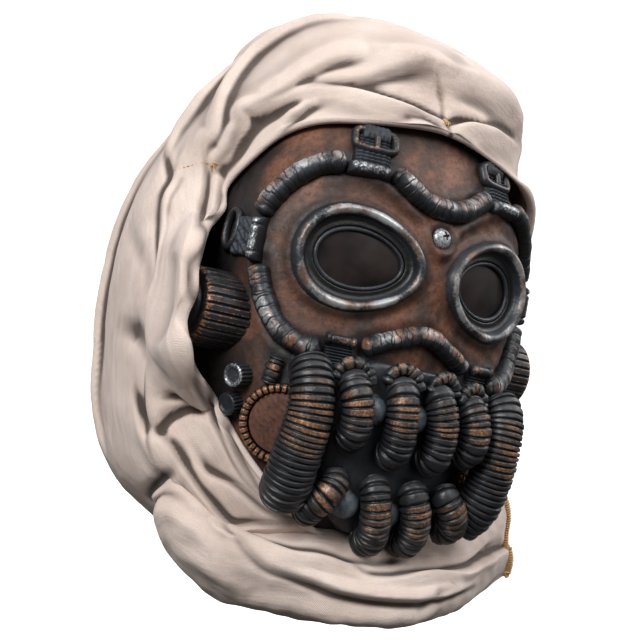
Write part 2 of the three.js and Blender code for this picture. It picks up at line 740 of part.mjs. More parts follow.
// Point of the cloth's outside, without its folds, at an angle and a level.
function hoodBase(angle, level) {
  const place = placeOf(hoodSections, "drop", level);
  const value = (name) => along(hoodSections, name, place);
  const a = angle * degrees;
  const [s, c] = [Math.sin(a), Math.cos(a)];
  const halfWidth = headHalfWidth + (s < 0 ? hoodLooseRight : hoodLooseLeft);
  const across = Math.max(value(s < 0 ? "right" : "left") * halfWidth, 1e-3);
  const reachAhead = c >= 0 ? headFront + hoodLooseFront : headBack + hoodLooseBack;
  const depth = Math.max(value(c >= 0 ? "front" : "back") * reachAhead, 1e-3);
  const round = 2.2;
  const free = (Math.abs(s / across) ** round + Math.abs(c / depth) ** round) ** (-1 / round);
  const z = hoodTop - value("drop") * hoodHeight;
  let reach = free;
  if (z < 0) {
    const near = huggingReach(angle, z) + clothWall;
    const drop = (shellWall - z) / headHeight;
    const share = smoothStep(edgeDistance(angle, drop) / clothHug);
    reach = near + Math.max(free - near, 0) * share;
  }
  return new THREE.Vector3(reach * s, -reach * c, z);
}

// The same outside, met by a ray from the middle of the head through a point.
const headMiddle = new THREE.Vector3(0, 0, -headHeight * 0.36);
function ontoHood(point) {
  const way = point.clone().sub(headMiddle);
  const angle = Math.atan2(way.x, -way.y) / degrees;
  const slope = Math.atan2(way.z, Math.hypot(way.x, way.y));
  let [low, high] = [0, 1];
  for (let i = 0; i < 24; i += 1) {
    const level = (low + high) / 2;
    const spot = hoodBase(angle, level).sub(headMiddle);
    if (Math.atan2(spot.z, Math.hypot(spot.x, spot.y)) > slope) low = level;
    else high = level;
  }
  return hoodBase(angle, (low + high) / 2);
}

// Pleats follow the opening all round. share is the distance from its edge as a share of the
// spread, lift how far the cloth stands out there as a share of the pleat depth.
const pleats = table("share lift", [
  [0, 0], [0.07, 0.75], [0.2, 0.05], [0.33, 0.8], [0.46, -0.1], [0.58, 0.75], [0.72, -0.15], [0.86, 0.7],
  [1, 0],
]);
const backSteps = [0.2, 0.4, 0.6, 0.8, 1];
const backLift = 0.2;

// One station's line of places from the edge of the opening to the neck rim.
function stationLine(station, side) {
  const sign = sideSign[side];
  const [edgeAngle, spread] = side === "left"
    ? [station.leftEdge, station.leftSpread]
    : [station.edge, station.spread];
  const edge = hoodBase(sign * edgeAngle, (hoodRise + station.edgeDrop * headHeight) / hoodHeight);
  const curve = new THREE.CatmullRomCurve3([
    edge,
    hoodBase(sign * station.via1, station.level1),
    hoodBase(sign * station.via2, station.level2),
    hoodBase(sign * station.rim, 1),
  ]);
  const whole = curve.getLength();
  const width = Math.min(spread * pleatWidth, whole * 0.8);
  const shares = pleats.map((pleat) => (pleat.share * width) / whole);
  const rest = backSteps.map((step) => width / whole + step * (1 - width / whole));
  return [...shares, ...rest].map((share) => {
    const place = curve.getPointAt(Math.min(share, 1));
    const spot = share === 0 || share >= 1 ? place : ontoHood(place);
    if (side === "right") return spot;
    const flare = station.flare * flapStandOut * (1 - smoothStep((share * whole) / clothHug));
    const wider = 1 + flare / spot.length();
    return spot.multiply(new THREE.Vector3(wider, wider, 1));
  });
}

function makeHood() {
  const last = hoodStations.length - 1;
  const right = hoodStations.map((station) => ({ depth: station.depth, line: stationLine(station, "right") }));
  const left = hoodStations.slice(1, last).reverse()
    .map((station) => ({ depth: station.depth, line: stationLine(station, "left") }));
  const lines = [...right, ...left];
  const count = lines.length;
  const steps = lines[0].line.length;
  const outside = [];
  const inside = [];
  for (let w = 0; w < steps; w += 1) {
    const lift = w < pleats.length ? pleats[w].lift : backLift;
    outside.push([]);
    inside.push([]);
    for (let u = 0; u < count; u += 1) {
      const round = lines[(u + 1) % count].line[w].clone().sub(lines[(u + count - 1) % count].line[w]);
      const back = lines[u].line[Math.min(w + 1, steps - 1)].clone().sub(lines[u].line[Math.max(w - 1, 0)]);
      const out = round.cross(back).normalize();
      const spot = lines[u].line[w].clone().addScaledVector(out, lift * pleatDepth * lines[u].depth);
      outside[w].push(spot);
      inside[w].push(spot.clone().addScaledVector(out, -clothWall));
    }
  }
  return ringSolid([...outside, ...inside.reverse()], true, steps);
}

// Neck wrap: a wide band of rolled folds that runs from behind the right ear, under the chin,
// to a free end on the wearer's left. Its top laps over the hood's rim beside the jaw. Reach and
// levels are shares of the wrap's own sizes.
const wrapSections = table("angle reach top bottom", [
  [-112, 0.64, 0.5, 0.36],
  [-92, 0.68, 0.52, 0.27],
  [-70, 0.7, 0.54, 0.14],
  [-45, 0.745, 0.55, 0.04],
  [-20, 0.81, 0.57, 0],
  [5, 0.87, 0.6, 0],
  [28, 0.96, 0.7, 0.05],
  [46, 1.08, 0.95, 0.25],
  [58, 1.19, 1.22, 0.5],
  [66, 1.27, 1.4, 0.66],
]);
const wrapRolls = table("share out", [
  [0, -0.02], [0.1, 0.035], [0.25, 0.04], [0.33, 0], [0.45, 0.05], [0.6, 0.05], [0.68, 0.01], [0.8, 0.03],
  [0.92, 0], [1, -0.04],
]);
function makeWrap() {
  const rings = [];
  const steps = 12;
  const foot = hoodTop - hoodHeight + wrapLap - wrapSections[2].top * wrapHeight;
  for (let i = 0; i <= steps; i += 1) {
    const value = (name) => along(wrapSections, name, i / steps);
    const a = value("angle") * degrees;
    const top = foot + value("top") * wrapHeight;
    const bottom = foot + value("bottom") * wrapHeight;
    const spot = (roll, inset) => {
      const r = (value("reach") + roll.out) * (headHalfWidth + wrapLoose) - inset;
      return new THREE.Vector3(r * Math.sin(a), -r * Math.cos(a), top + (bottom - top) * roll.share);
    };
    const outer = wrapRolls.map((roll) => spot(roll, 0));
    const inner = [...wrapRolls].reverse().map((roll) => spot(roll, clothWall));
    rings.push([...outer, ...inner]);
  }
  return ringSolid(rings);
}

// Colours by what a piece is made of.
const finishes = {
  latex: { color: 0x73523f, roughness: 0.62, metalness: 0 },
  dark: { color: 0x2c3238, roughness: 0.45, metalness: 0.1 },
  copper: { color: 0x7a5138, roughness: 0.4, metalness: 0.3 },
  silver: { color: 0x8a8f94, roughness: 0.35, metalness: 0.5 },
  pane: { color: 0x14161a, roughness: 0.15, metalness: 0 },
  cloth: { color: 0xdcd0c8, roughness: 0.95, metalness: 0 },
};

const mask = new THREE.Group();

function add(name, finish, solid) {
  const data = solid.getMesh();
  const geometry = new THREE.BufferGeometry();
  geometry.setAttribute("position", new THREE.Float32BufferAttribute(data.vertProperties, 3));
  geometry.setIndex(Array.from(data.triVerts));
  geometry.computeVertexNormals();
  const mesh = new THREE.Mesh(geometry, new THREE.MeshStandardMaterial(finishes[finish]));
  mesh.name = name;
  mask.add(mesh);
}

// The latex, with a hole for each lens socket.
let shell = makeShell();
sides.forEach((side) => {
  shell = shell.subtract(lensPlug(side, -seatGap, -rimDepth * 2, rimDepth * 2));
});
add("mask_shell", "latex", shell);

sides.forEach((side) => {
  add(`lens_rim_${side}`, "dark", makeRim(side));
  add(`lens_bead_${side}`, "silver", makeBead(side));
  add(`lens_pane_${side}`, "pane", makePane(side));
});
add("brow_screw", "silver", makeScrew().subtract(seat));

const grownRims = sides.map((side) => lensPlug(side, -seatGap, -rimDepth, rimDepth));
const clearOf = (solid, others) => others.reduce((left, other) => left.subtract(other), solid);

const strap = (side, place, width, height, thickness) => (
  padAt(side, strapPlaces[place], rectangle(width, height), thickness)
);
const topClip = (side, grow) => (
  strap(side, "topClip", clipWidth + grow * 2, clipHeight + grow * 2, clipStandOut + grow)
);
const templeClip = (side, grow) => (
  strap(side, "templeClip", clipHeight + grow * 2, clipWidth + grow * 2, clipStandOut + grow)
);
const topStrap = (side, grow) => (
  strap(side, "topStrap", topStrapWidth, topStrapLength + grow * 2, strapThickness)
);
const templeStrap = (side, grow) => (
  strap(side, "templeStrap", templeStrapLength + grow * 2, templeStrapHeight, strapThickness)
);
const clipRooms = (side) => [topClip(side, seatGap), templeClip(side, seatGap)];

sides.forEach((side) => {
  add(`top_clip_${side}`, "silver", clearOf(topClip(side, 0), [seat, ...grownRims]));
  add(`top_strap_${side}`, "dark", clearOf(topStrap(side, 0), [seat, topClip(side, seatGap)]));
  add(`top_buckle_${side}`, "silver", clearOf(makeTopBuckle(side), [seat, topStrap(side, seatGap)]));
  add(`temple_clip_${side}`, "silver", clearOf(templeClip(side, 0), [seat, ...grownRims]));
  add(`temple_strap_${side}`, "dark", clearOf(templeStrap(side, 0), [seat, templeClip(side, seatGap)]));
  add(`temple_buckle_${side}`, "silver", clearOf(makeTempleBuckle(side), [seat, templeStrap(side, seatGap)]));
  const templeTube = tube(mirrored(templeTubeRoute, side), tubeRadius, 7);
  add(`temple_tube_${side}`, "dark", clearOf(templeTube, [seat, ...clipRooms(side), ...grownRims]));
});

const lowerStraps = Object.fromEntries(sides.map((side) => [side, clearOf(makeLowerStrap(side), [seat])]));
const lowerStrapRoom = (side) => padAt(
  side,
  strapPlaces.lowerStrap,
  rectangle(lowerStrapWidth + seatGap * 2, lowerStrapHeight + seatGap * 2),
  clipStandOut,
);
const allClips = sides.flatMap(clipRooms);
const browTube = tube(browTubeRoute, tubeRadius, 10);
add("brow_tube", "dark", clearOf(browTube, [seat, ...allClips, ...grownRims]));

const noseTube = tube(noseTubeRoute, noseTubeRadius, 10);
const noseTubeRoom = tube(noseTubeRoute, noseTubeRadius, 10, seatGap);
add("nose_tube", "silver", clearOf(noseTube, [seat, ...sides.map(lowerStrapRoom), ...grownRims]));

sides.forEach((side) => {
  const cheekTube = tube(mirrored(cheekTubeRoute, side), tubeRadius, 8);
  const strapRoom = lowerStrapRoom(side);
  const largeKnob = makeKnob(side, knobPlaces.large, largeKnobRadius, largeKnobLength);
  const smallKnob = makeKnob(side, knobPlaces.small, smallKnobRadius, smallKnobLength);
  add(`cheek_tube_${side}`, "dark", clearOf(cheekTube, [seat, strapRoom, ...clipRooms(side), ...grownRims]));
  add(`lower_strap_${side}`, "dark", lowerStraps[side]);
  add(`lower_roller_${side}`, "copper", clearOf(makeRoller(side), [seat, strapRoom, ...grownRims]));
  add(`canister_${side}`, "copper", clearOf(makeCanister(side), [seat]));
  add(`large_knob_${side}`, "silver", clearOf(largeKnob, [seat]));
  add(`small_knob_${side}`, "dark", clearOf(smallKnob, [seat]));
});

// The mouth: each hose is cut clear of the ones made before it.
const plateRoom = mouthPlate(seatGap);
const sideHoseRoom = Object.fromEntries(sides.map((side) => [side, sideHose(side, seatGap)]));
const nearSide = (row) => (row.a1 < 0 ? "right" : "left");
const tubeRooms = sides.map((side) => tube(mirrored(cheekTubeRoute, side), tubeRadius, 8, seatGap));
const lowerStrapRooms = sides.map(lowerStrapRoom);

sides.forEach((side) => {
  const room = [seat, noseTubeRoom, ...tubeRooms, ...lowerStrapRooms];
  const portRoom = makePort(side, portRadius + portRingWidth + seatGap * 2, portRingStandOut + seatGap);
  add(`side_hose_${side}`, "copper", clearOf(sideHose(side), [...room, plateRoom, portRoom]));
  add(`feeder_hose_${side}`, "copper", clearOf(feederHose(side), [...room, portRoom]));
  add(`port_ring_${side}`, "copper", clearOf(makePortRing(side), [seat]));
  add(`port_disc_${side}`, "latex", clearOf(makePort(side, portRadius - seatGap, portDiscStandOut), [seat]));
});
add("mouth_plate", "dark", clearOf(mouthPlate(0), [seat, noseTubeRoom, ...tubeRooms, ...lowerStrapRooms]));

mouthHoses.forEach((row) => {
  const neighbours = mouthHoses.filter((other) => other.low < row.low && nearSide(other) === nearSide(row));
  const rooms = neighbours.map((other) => mouthHose(other, seatGap));
  rooms.push(plateRoom, sideHoseRoom[nearSide(row)], noseTubeRoom, ...lowerStrapRooms);
  add(row.name, "copper", clearOf(mouthHose(row), rooms));
});
archRows.forEach((row, i) => {
  const below = mouthHose(mouthHoses[i], seatGap);
  const room = [plateRoom, below, noseTubeRoom, ...Object.values(sideHoseRoom), ...lowerStrapRooms];
  add(row.name, "copper", clearOf(archHose(row), room));
});

add("hood", "cloth", makeHood());
add("neck_wrap", "cloth", makeWrap());

export default mask;
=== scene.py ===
import bmesh
import bpy
import numpy as np
from mathutils import Matrix, Vector


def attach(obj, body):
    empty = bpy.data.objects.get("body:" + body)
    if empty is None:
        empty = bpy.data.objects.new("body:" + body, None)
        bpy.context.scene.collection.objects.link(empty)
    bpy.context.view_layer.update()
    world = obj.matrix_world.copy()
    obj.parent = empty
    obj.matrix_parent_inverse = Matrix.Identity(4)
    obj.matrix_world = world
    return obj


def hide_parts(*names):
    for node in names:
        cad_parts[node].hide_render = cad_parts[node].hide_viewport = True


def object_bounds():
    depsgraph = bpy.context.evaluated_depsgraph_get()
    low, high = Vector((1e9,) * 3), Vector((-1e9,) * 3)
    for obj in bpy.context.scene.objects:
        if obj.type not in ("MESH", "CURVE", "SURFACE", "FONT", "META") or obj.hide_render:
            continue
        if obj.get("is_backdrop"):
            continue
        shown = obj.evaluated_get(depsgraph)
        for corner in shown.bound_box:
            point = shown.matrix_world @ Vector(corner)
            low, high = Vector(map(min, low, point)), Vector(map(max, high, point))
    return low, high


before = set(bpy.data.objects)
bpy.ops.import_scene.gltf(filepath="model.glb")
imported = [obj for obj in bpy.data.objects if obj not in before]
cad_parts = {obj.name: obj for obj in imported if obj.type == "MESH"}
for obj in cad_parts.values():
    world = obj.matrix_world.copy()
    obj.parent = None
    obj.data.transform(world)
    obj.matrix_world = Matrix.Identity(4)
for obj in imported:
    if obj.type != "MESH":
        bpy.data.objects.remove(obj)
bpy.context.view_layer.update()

# Camera. It looks slightly up at the mask, from its front and its own right, and leans sideways.
# Distances are millimetres until a mesh is made, and angles are degrees from the face's middle.
MM = 0.001
PICTURE_SIDE = 640
camera_data = bpy.data.cameras.new("camera")
camera_data.lens = 84.375
camera_data.sensor_width = 36
camera = bpy.data.objects.new("camera", camera_data)
bpy.context.scene.collection.objects.link(camera)
# The camera's ways to the right, up and back, and its place in metres.
camera_axes = [Vector((0.8271, -0.5287, 0.1905)), Vector((-0.1890, 0.0575, 0.9803)),
               Vector((-0.5292, -0.8469, -0.0523)), Vector((-0.4645, -0.7453, -0.1926))]
camera.matrix_world = Matrix([[axis[row] for axis in camera_axes] for row in range(3)] + [[0, 0, 0, 1]])
bpy.context.scene.camera = camera

# Latex head. One hollow moulding, 3 mm thick and open at the neck, slush-cast and painted brown by
# brush and airbrush. Soft lips are moulded below the brow tube, round the goggles and the screw.
HEAD_HALF_WIDTH = 92
HEAD_FRONT = 107
HEAD_BACK = 104
HEAD_HEIGHT = 309
HEAD_WALL = 3
NECK_DROP = 0.93
# Rows down the head: drop, half width, depth in front and behind, all as shares of the head's own,
# then how far the cheeks are wedged back, and the superellipse power in front.
HEAD_SECTIONS = np.array([
    [0, 0, 0, 0, 0, 2.2], [0.012, 0.3, 0.26, 0.34, 0, 2.2], [0.045, 0.56, 0.5, 0.62, 0, 2.3],
    [0.1, 0.74, 0.7, 0.82, 0, 2.6], [0.155, 0.83, 0.8, 0.91, 0.04, 3], [0.235, 0.9, 0.915, 0.97, 0.1, 3.6],
    [0.33, 0.97, 0.985, 1, 0.22, 5], [0.392, 1, 1, 1, 0.27, 5.5], [0.5, 0.985, 0.99, 0.95, 0.22, 4.5],
    [0.634, 0.935, 0.95, 0.8, 0.1, 4], [0.78, 0.8, 0.88, 0.62, 0.05, 3.2], [0.86, 0.7, 0.76, 0.52, 0, 2.6],
    [0.93, 0.6, 0.6, 0.45, 0, 2.2], [1, 0.6, 0.56, 0.45, 0, 2.2],
])


def unit(vectors):
    """Vectors divided by their length."""
    return vectors / np.maximum(np.linalg.norm(vectors, axis=-1, keepdims=True), 1e-9)


def ease(low, high, value):
    """Smooth step: 0 below low, 1 above high, 3t^2 - 2t^3 between."""
    t = np.clip((value - low) / (high - low), 0, 1)
    return t * t * (3 - 2 * t)


def bell(value, width):
    """1 at 0, falling to both sides as exp(-(value / width)^2)."""
    return np.exp(-((value / width) ** 2))


def full_turn(count):
    """Even angles once round, in radians."""
    return np.linspace(0, 2 * np.pi, count, endpoint=False)


def catmull(before, start, end, after, f):
    """Even Catmull-Rom curve from start to end, at a fraction of the way."""
    return 0.5 * (2 * start + (end - before) * f + (2 * before - 5 * start + 4 * end - after) * f**2
                  + (3 * start - before - 3 * end + after) * f**3)


def along(rows, column, place):
    """Curve through one column, at places from 0 to 1 along the rows."""
    last = len(rows) - 1
    u = np.clip(place, 0, 1) * last
    i = np.minimum(np.floor(u).astype(int), last - 1)
    return catmull(*(rows[np.clip(i + k, 0, last), column] for k in (-1, 0, 1, 2)), u - i)


def place_of(rows, value):
    """The place along the rows where their rising first column reaches a value."""
    places = np.linspace(0, 1, 4001)
    return np.interp(value, along(rows, 0, places), places)


def head_point(angle, place):
    """Superellipse of the section at a place, met by a ray at an angle, with its cheeks wedged back."""
    s, c = np.sin(angle), np.cos(angle)
    side, front, back, wedge, corner = (along(HEAD_SECTIONS, k, place) for k in range(1, 6))
    depth = np.maximum(np.where(c >= 0, front * HEAD_FRONT, back * HEAD_BACK), 1e-4)
    corner = np.where(c >= 0, corner, 2.3)
    half = np.maximum(side * HEAD_HALF_WIDTH, 1e-4)
    radius = (np.abs(s / half) ** corner + np.abs(c / depth) ** corner) ** (-1 / corner)
    x = radius * s
    pull = np.where(c >= 0, 1 - wedge * np.abs(x) / depth, 1)
    return np.stack([x, -radius * c * pull, HEAD_WALL - along(HEAD_SECTIONS, 0, place) * HEAD_HEIGHT], -1)


def head_frame(angle, drop):
    """Point of the head, its way across, up and out, from small steps along the angle and the place."""
    angle, drop = np.broadcast_arrays(np.asarray(angle, float), np.asarray(drop, float))
    a = np.radians(angle)
    place = np.maximum(place_of(HEAD_SECTIONS, drop), 0.02)
    across = unit(head_point(a + 0.02, place) - head_point(a - 0.02, place))
    rise = head_point(a, place - 0.004) - head_point(a, place + 0.004)
    out = unit(np.cross(across, rise))
    return head_point(a, place), across, np.cross(out, across), out


def on_head(angle, drop, lift):
    """Point of the head moved out of its surface by a lift."""
    point, _, _, out = head_frame(angle, drop)
    return point + out * np.asarray(lift, float)[..., None]


def from_frame(place, x, y, height):
    """Points at distances across, up and out from the point of a frame."""
    point, across, up, out = place
    x, y, height = np.broadcast_arrays(x, y, height)
    return point + x[..., None] * across + y[..., None] * up + height[..., None] * out


def through(rows, steps):
    """Centripetal Catmull-Rom curve through rows, at even steps of its knots."""
    rows = np.asarray(rows, float)
    knots = np.concatenate([[0], np.cumsum(np.linalg.norm(np.diff(rows, axis=0), axis=1) ** 0.5)])
    slope = np.diff(rows, axis=0) / np.diff(knots)[:, None]
    gap = np.diff(knots)[:, None]
    inner = (slope[1:] * gap[:-1] + slope[:-1] * gap[1:]) / (gap[1:] + gap[:-1])
    tangent = np.concatenate([slope[:1], inner, slope[-1:]])
    t = np.linspace(0, knots[-1], steps)
    i = np.clip(np.searchsorted(knots, t, "right") - 1, 0, len(rows) - 2)
    h = gap[i, 0]
    u = ((t - knots[i]) / h)[:, None]
    h = h[:, None]
    return ((2 * u**3 - 3 * u**2 + 1) * rows[i] + (u**3 - 2 * u**2 + u) * h * tangent[i]
            + (3 * u**2 - 2 * u**3) * rows[i + 1] + (u**3 - u**2) * h * tangent[i + 1])


def evenly(path, steps):
    """The columns of a path again, at even distances along its first three."""
    run = np.concatenate([[0], np.cumsum(np.linalg.norm(np.diff(path[:, :3], axis=0), axis=1))])
    at = np.linspace(0, run[-1], steps)
    return np.stack([np.interp(at, run, column) for column in path.T], -1), run[-1]


def head_route(rows, steps, sign=1):
    """A route over the head from rows of angle, drop and lift: its points, ways out and length."""
    rows = np.asarray(rows, float) * [sign, HEAD_HEIGHT, 1]
    curve = through(rows, 300)
    point, _, _, out = head_frame(curve[:, 0], curve[:, 1] / HEAD_HEIGHT)
    path, length = evenly(np.concatenate([point + out * curve[:, 2:], out], 1), steps)
    return path[:, :3], unit(path[:, 3:]), length


def skin_of(grid, loop_rows=False, loop_columns=False, caps="", holes=None, uv=None, **values):
    """Quads between neighbours in a grid of points, with a fan over its first or last row if capped.
    Each quad starts at an end of its shorter diagonal, along which it is cut in two when drawn."""
    rows, columns = grid.shape[:2]
    index = np.arange(rows * columns).reshape(rows, columns)
    index = np.concatenate([index, index[:1]]) if loop_rows else index
    index = np.concatenate([index, index[:, :1]], 1) if loop_columns else index
    quads = np.stack([index[:-1, :-1], index[:-1, 1:], index[1:, 1:], index[1:, :-1]], -1).reshape(-1, 4)
    points = grid.reshape(-1, 3)
    first, second = (np.linalg.norm(points[quads[:, k]] - points[quads[:, k + 2]], axis=1) for k in (0, 1))
    quads = np.where((second < first)[:, None], np.roll(quads, -1, axis=1), quads)
    if holes is not None:
        middle = points[quads].mean(1)
        quads = quads[~holes(middle)]
    fans = []
    flat = {name: np.broadcast_to(value, (rows, columns)).reshape(-1) for name, value in values.items()}
    uv = None if uv is None else uv.reshape(-1, 2)
    for cap, row in (("first", 0), ("last", rows - 1)):
        if cap in caps:
            edge = row * columns + np.arange(columns)
            tip = np.full(columns, len(points))
            fans.append(np.stack([edge, np.roll(edge, -1), tip], -1)[:, ::(1 if row else -1)])
            points = np.concatenate([points, points[edge].mean(0)[None]])
            flat = {name: np.append(value, value[edge].mean()) for name, value in flat.items()}
    return points, quads, np.concatenate(fans) if fans else np.zeros((0, 3), int), flat, uv


def closed(grid, **values):
    """Skin of a form whose columns run round it, capped over its first and last row."""
    return skin_of(grid, loop_columns=True, caps="first last", **values)


def ring(grid, **values):
    """Skin of a form closed both along its rows and round its columns."""
    return skin_of(grid, loop_rows=True, loop_columns=True, **values)


def piece(name, parts, finish, replaces=()):
    """One mesh object at the origin from its parts, in metres, riding on the body, with its finish."""
    points, loops, starts, uvs, values = [], [], [], [], {}
    count = at = 0
    for part_points, quads, fans, flat, uv in parts:
        faces = np.concatenate([quads.reshape(-1), fans.reshape(-1)]) + count
        sizes = np.concatenate([np.full(len(quads), 4), np.full(len(fans), 3)])
        loops.append(faces)
        starts.append(at + np.concatenate([[0], np.cumsum(sizes)[:-1]]))
        points.append(part_points)
        if uv is not None:
            uvs.append(uv[faces - count])
        for key, value in flat.items():
            values.setdefault(key, []).append(value)
        count += len(part_points)
        at += sizes.sum()
    points, loops, starts = np.concatenate(points), np.concatenate(loops), np.concatenate(starts)
    mesh = bpy.data.meshes.new(name)
    mesh.vertices.add(len(points))
    mesh.vertices.foreach_set("co", (points * MM).astype(np.float32).reshape(-1))
    mesh.loops.add(len(loops))
    mesh.loops.foreach_set("vertex_index", loops.astype(np.int32))
    mesh.polygons.add(len(starts))
    mesh.polygons.foreach_set("loop_start", starts.astype(np.int32))
    mesh.polygons.foreach_set("use_smooth", np.ones(len(starts), bool))
    mesh.update(calc_edges=True)
    if uvs:
        layer = mesh.uv_layers.new(name="cut")
        layer.data.foreach_set("uv", np.concatenate(uvs).astype(np.float32).reshape(-1))
    for key, value in values.items():
        held = mesh.attributes.new(key, "FLOAT", "POINT")
        held.data.foreach_set("value", np.concatenate(value).astype(np.float32))
    mesh.validate()
    work = bmesh.new()
    work.from_mesh(mesh)
    bmesh.ops.recalc_face_normals(work, faces=work.faces)
    work.to_mesh(mesh)
    work.free()
    mesh.materials.append(finish)
    made = bpy.data.objects.new(name, mesh)
    bpy.context.scene.collection.objects.link(made)
    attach(made, "root")
    if replaces:
        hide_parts(*replaces)
    return made


class Dye:
    """A shader socket on which + - * work, each as a Math node."""

    def __init__(self, tree, socket=None):
        self.tree, self.socket = tree, socket

    def node(self, kind, settings=(), inputs=(), output=0):
        """Any other node: its settings first, then the values and links of its sockets."""
        made = self.tree.nodes.new(kind)
        for key, value in dict(settings).items():
            setattr(made, key, value)
        for key, value in dict(inputs).items():
            if isinstance(value, Dye):
                self.tree.links.new(value.socket, made.inputs[key])
            else:
                made.inputs[key].default_value = value
        return Dye(self.tree, made.outputs[output])

    def maths(self, operation, *values):
        return self.node("ShaderNodeMath", {"operation": operation}, dict(enumerate(values)))

    def __add__(self, other):
        return self.maths("ADD", self, other)

    def __radd__(self, other):
        return self.maths("ADD", other, self)

    def __sub__(self, other):
        return self.maths("SUBTRACT", self, other)

    def __mul__(self, other):
        return self.maths("MULTIPLY", self, other)

    def between(self, low, high):
        """Smooth step of this value from low to high."""
        settings = {"interpolation_type": "SMOOTHSTEP"}
        return self.node("ShaderNodeMapRange", settings, {"Value": self, "From Min": low, "From Max": high})

    def blend(self, first, second):
        """Colour mixed from first to second by this value."""
        return self.node("ShaderNodeMix", {"data_type": "RGBA"}, {0: self, 6: first, 7: second}, 2)

    def noise(self, scale, detail=3, rough=0.5, stretch=None):
        """Cloudy noise on the piece's own coordinates, scale in waves a metre."""
        where = self.node("ShaderNodeTexCoord", output=3)
        if stretch:
            where = self.node("ShaderNodeMapping", {}, {"Vector": where, "Scale": stretch})
        inputs = {"Vector": where, "Scale": scale, "Detail": detail, "Roughness": rough}
        return self.node("ShaderNodeTexNoise", {}, inputs)

    def held(self, name):
        """A value that the mesh holds for each point."""
        return self.node("ShaderNodeAttribute", {"attribute_name": name}, output=2)

    def bump(self, height, distance, strength=1.0, before=None):
        """Normal of a relief, its height in millimetres of the distance."""
        inputs = {"Height": height, "Distance": distance * MM, "Strength": strength}
        if before is not None:
            inputs["Normal"] = before
        return self.node("ShaderNodeBump", {}, inputs)


def tint(red, green, blue):
    """A linear colour from the levels of a painted swatch."""
    levels = np.array([red, green, blue]) / 255
    return (*np.where(levels <= 0.04, levels / 12.92, ((levels + 0.055) / 1.055) ** 2.4).tolist(), 1.0)


def new_finish(name, **settings):
    """An empty material and its shader, with the constants set on the shader's own sockets."""
    made = bpy.data.materials.new(name)
    made.use_nodes = True
    tree = made.node_tree
    shader = tree.nodes["Principled BSDF"]
    for key, value in settings.items():
        shader.inputs[key.replace("_", " ")].default_value = value
    return made, Dye(tree), shader


def feed(dye, shader, **links):
    """Links what varies over the surface to the shader."""
    for key, value in links.items():
        dye.tree.links.new(value.socket, shader.inputs[key.replace("_", " ")])


def painted(name, *swatches, cover=0.5, shine=0.0, rough=0.5, grain=1.0, soft=0.3, speckle=1.0,
            patches=None):
    """Latex paint: a mottled ground, darkened as painted shade where the piece is shaded, and dry-brushed
    where the piece is rubbed, which in places is a painted highlight. Its swatches are the ground, the
    lighter mottles, the rubbed paint and the bright rubbed paint."""
    ground, ground_light, rub, rub_bright = (tint(*swatch) for swatch in swatches)
    made, dye, shader = new_finish(name, Specular_IOR_Level=0.5)
    wide = dye.noise(55, 4, 0.55)
    fine = dye.noise(420, 5, 0.65)
    specks = dye.noise(900, 3, 0.6)
    base = wide.between(0.35, 0.68).blend(ground, ground_light)
    base = (fine.between(0.42, 0.72) * 0.6).blend(base, tint(30, 26, 25))
    # Painted shade: the ground darkens towards near black where the mesh holds shade.
    base = dye.held("shade").between(0.0, 1.1).blend(base, tint(20, 18, 19))
    # The rubbed paint follows the mesh's rub values: dry-brush, and in places a painted highlight.
    brushed_and_highlit = dye.held("rub") + ((fine - 0.5) * 0.9 + (specks - 0.5) * 0.5) * speckle + (wide - 0.5) * 0.5
    brushed_and_highlit = brushed_and_highlit.between(0.95 - cover, 0.95 - cover + soft)
    metal = (dye.noise(patches, 3) if patches else specks).between(0.35, 0.7).blend(rub, rub_bright)
    colour = brushed_and_highlit.blend(base, metal)
    relief = dye.bump(fine, 0.35 * grain, 0.6, dye.bump(dye.noise(150, 3), 0.8 * grain, 0.5))
    feed(dye, shader, Base_Color=colour, Metallic=brushed_and_highlit * shine, Normal=relief,
         Roughness=rough + (fine - 0.5) * 0.35 - brushed_and_highlit * 0.06)
    return made


# Routes over the head: each row an angle, a drop as a share of the height, and a lift.
BROW_ROUTE = [[-17.5, 0.232, 2.6], [-8, 0.266, 2.6], [0, 0.276, 2.6], [8, 0.266, 2.6], [17.5, 0.232, 2.6]]
NOSE_ROUTE = [[-17.5, 0.535, 2.6], [-10, 0.513, 2.6], [0, 0.493, 2.6], [10, 0.513, 2.6], [17.5, 0.535, 2.6]]
TEMPLE_ROUTE = [[46.5, 0.348, 2.5], [45.5, 0.318, 3], [41.5, 0.271, 3], [36, 0.244, 3], [31, 0.236, 3]]
CHEEK_ROUTE = [[44, 0.43, 3], [41.5, 0.485, 3], [37.5, 0.53, 3], [32.5, 0.549, 3], [28, 0.551, 3]]
BROW_LIP = [[-24, 0.247, 0], [-16, 0.268, 0], [-8, 0.298, 0], [0, 0.353, 0], [8, 0.298, 0], [16, 0.268, 0],
            [24, 0.247, 0]]
SIDES = {"right": -1, "left": 1}
SCREW_DROP = 0.3235
LENS_ANGLE = 21.4
LENS_DROP = 0.389
LENS_TURN = 18
LENS_HALF_WIDTH = 36.5
LENS_HALF_HEIGHT = 28
LENS_NARROWING = 0.16


def lens_frame(side):
    """Middle of a lens on the head, and its ways across, up and out."""
    turn = SIDES[side] * np.radians(LENS_TURN)
    out = np.array([np.sin(turn), -np.cos(turn), 0])
    up = np.array([0, 0, 1.0])
    return on_head(SIDES[side] * LENS_ANGLE, LENS_DROP, 0), np.cross(up, out), up, out


def lens_loop(side, inset, height, count=150):
    """The lens outline, an oval that narrows to the nose, at insets and heights: a grid round it."""
    turn = full_turn(count)[:, None]
    x = (LENS_HALF_WIDTH - inset) * np.cos(turn)
    narrowed = 1 + LENS_NARROWING * SIDES[side] * x / LENS_HALF_WIDTH
    return from_frame(lens_frame(side), x, (LENS_HALF_HEIGHT - inset) * np.sin(turn) * narrowed, height)


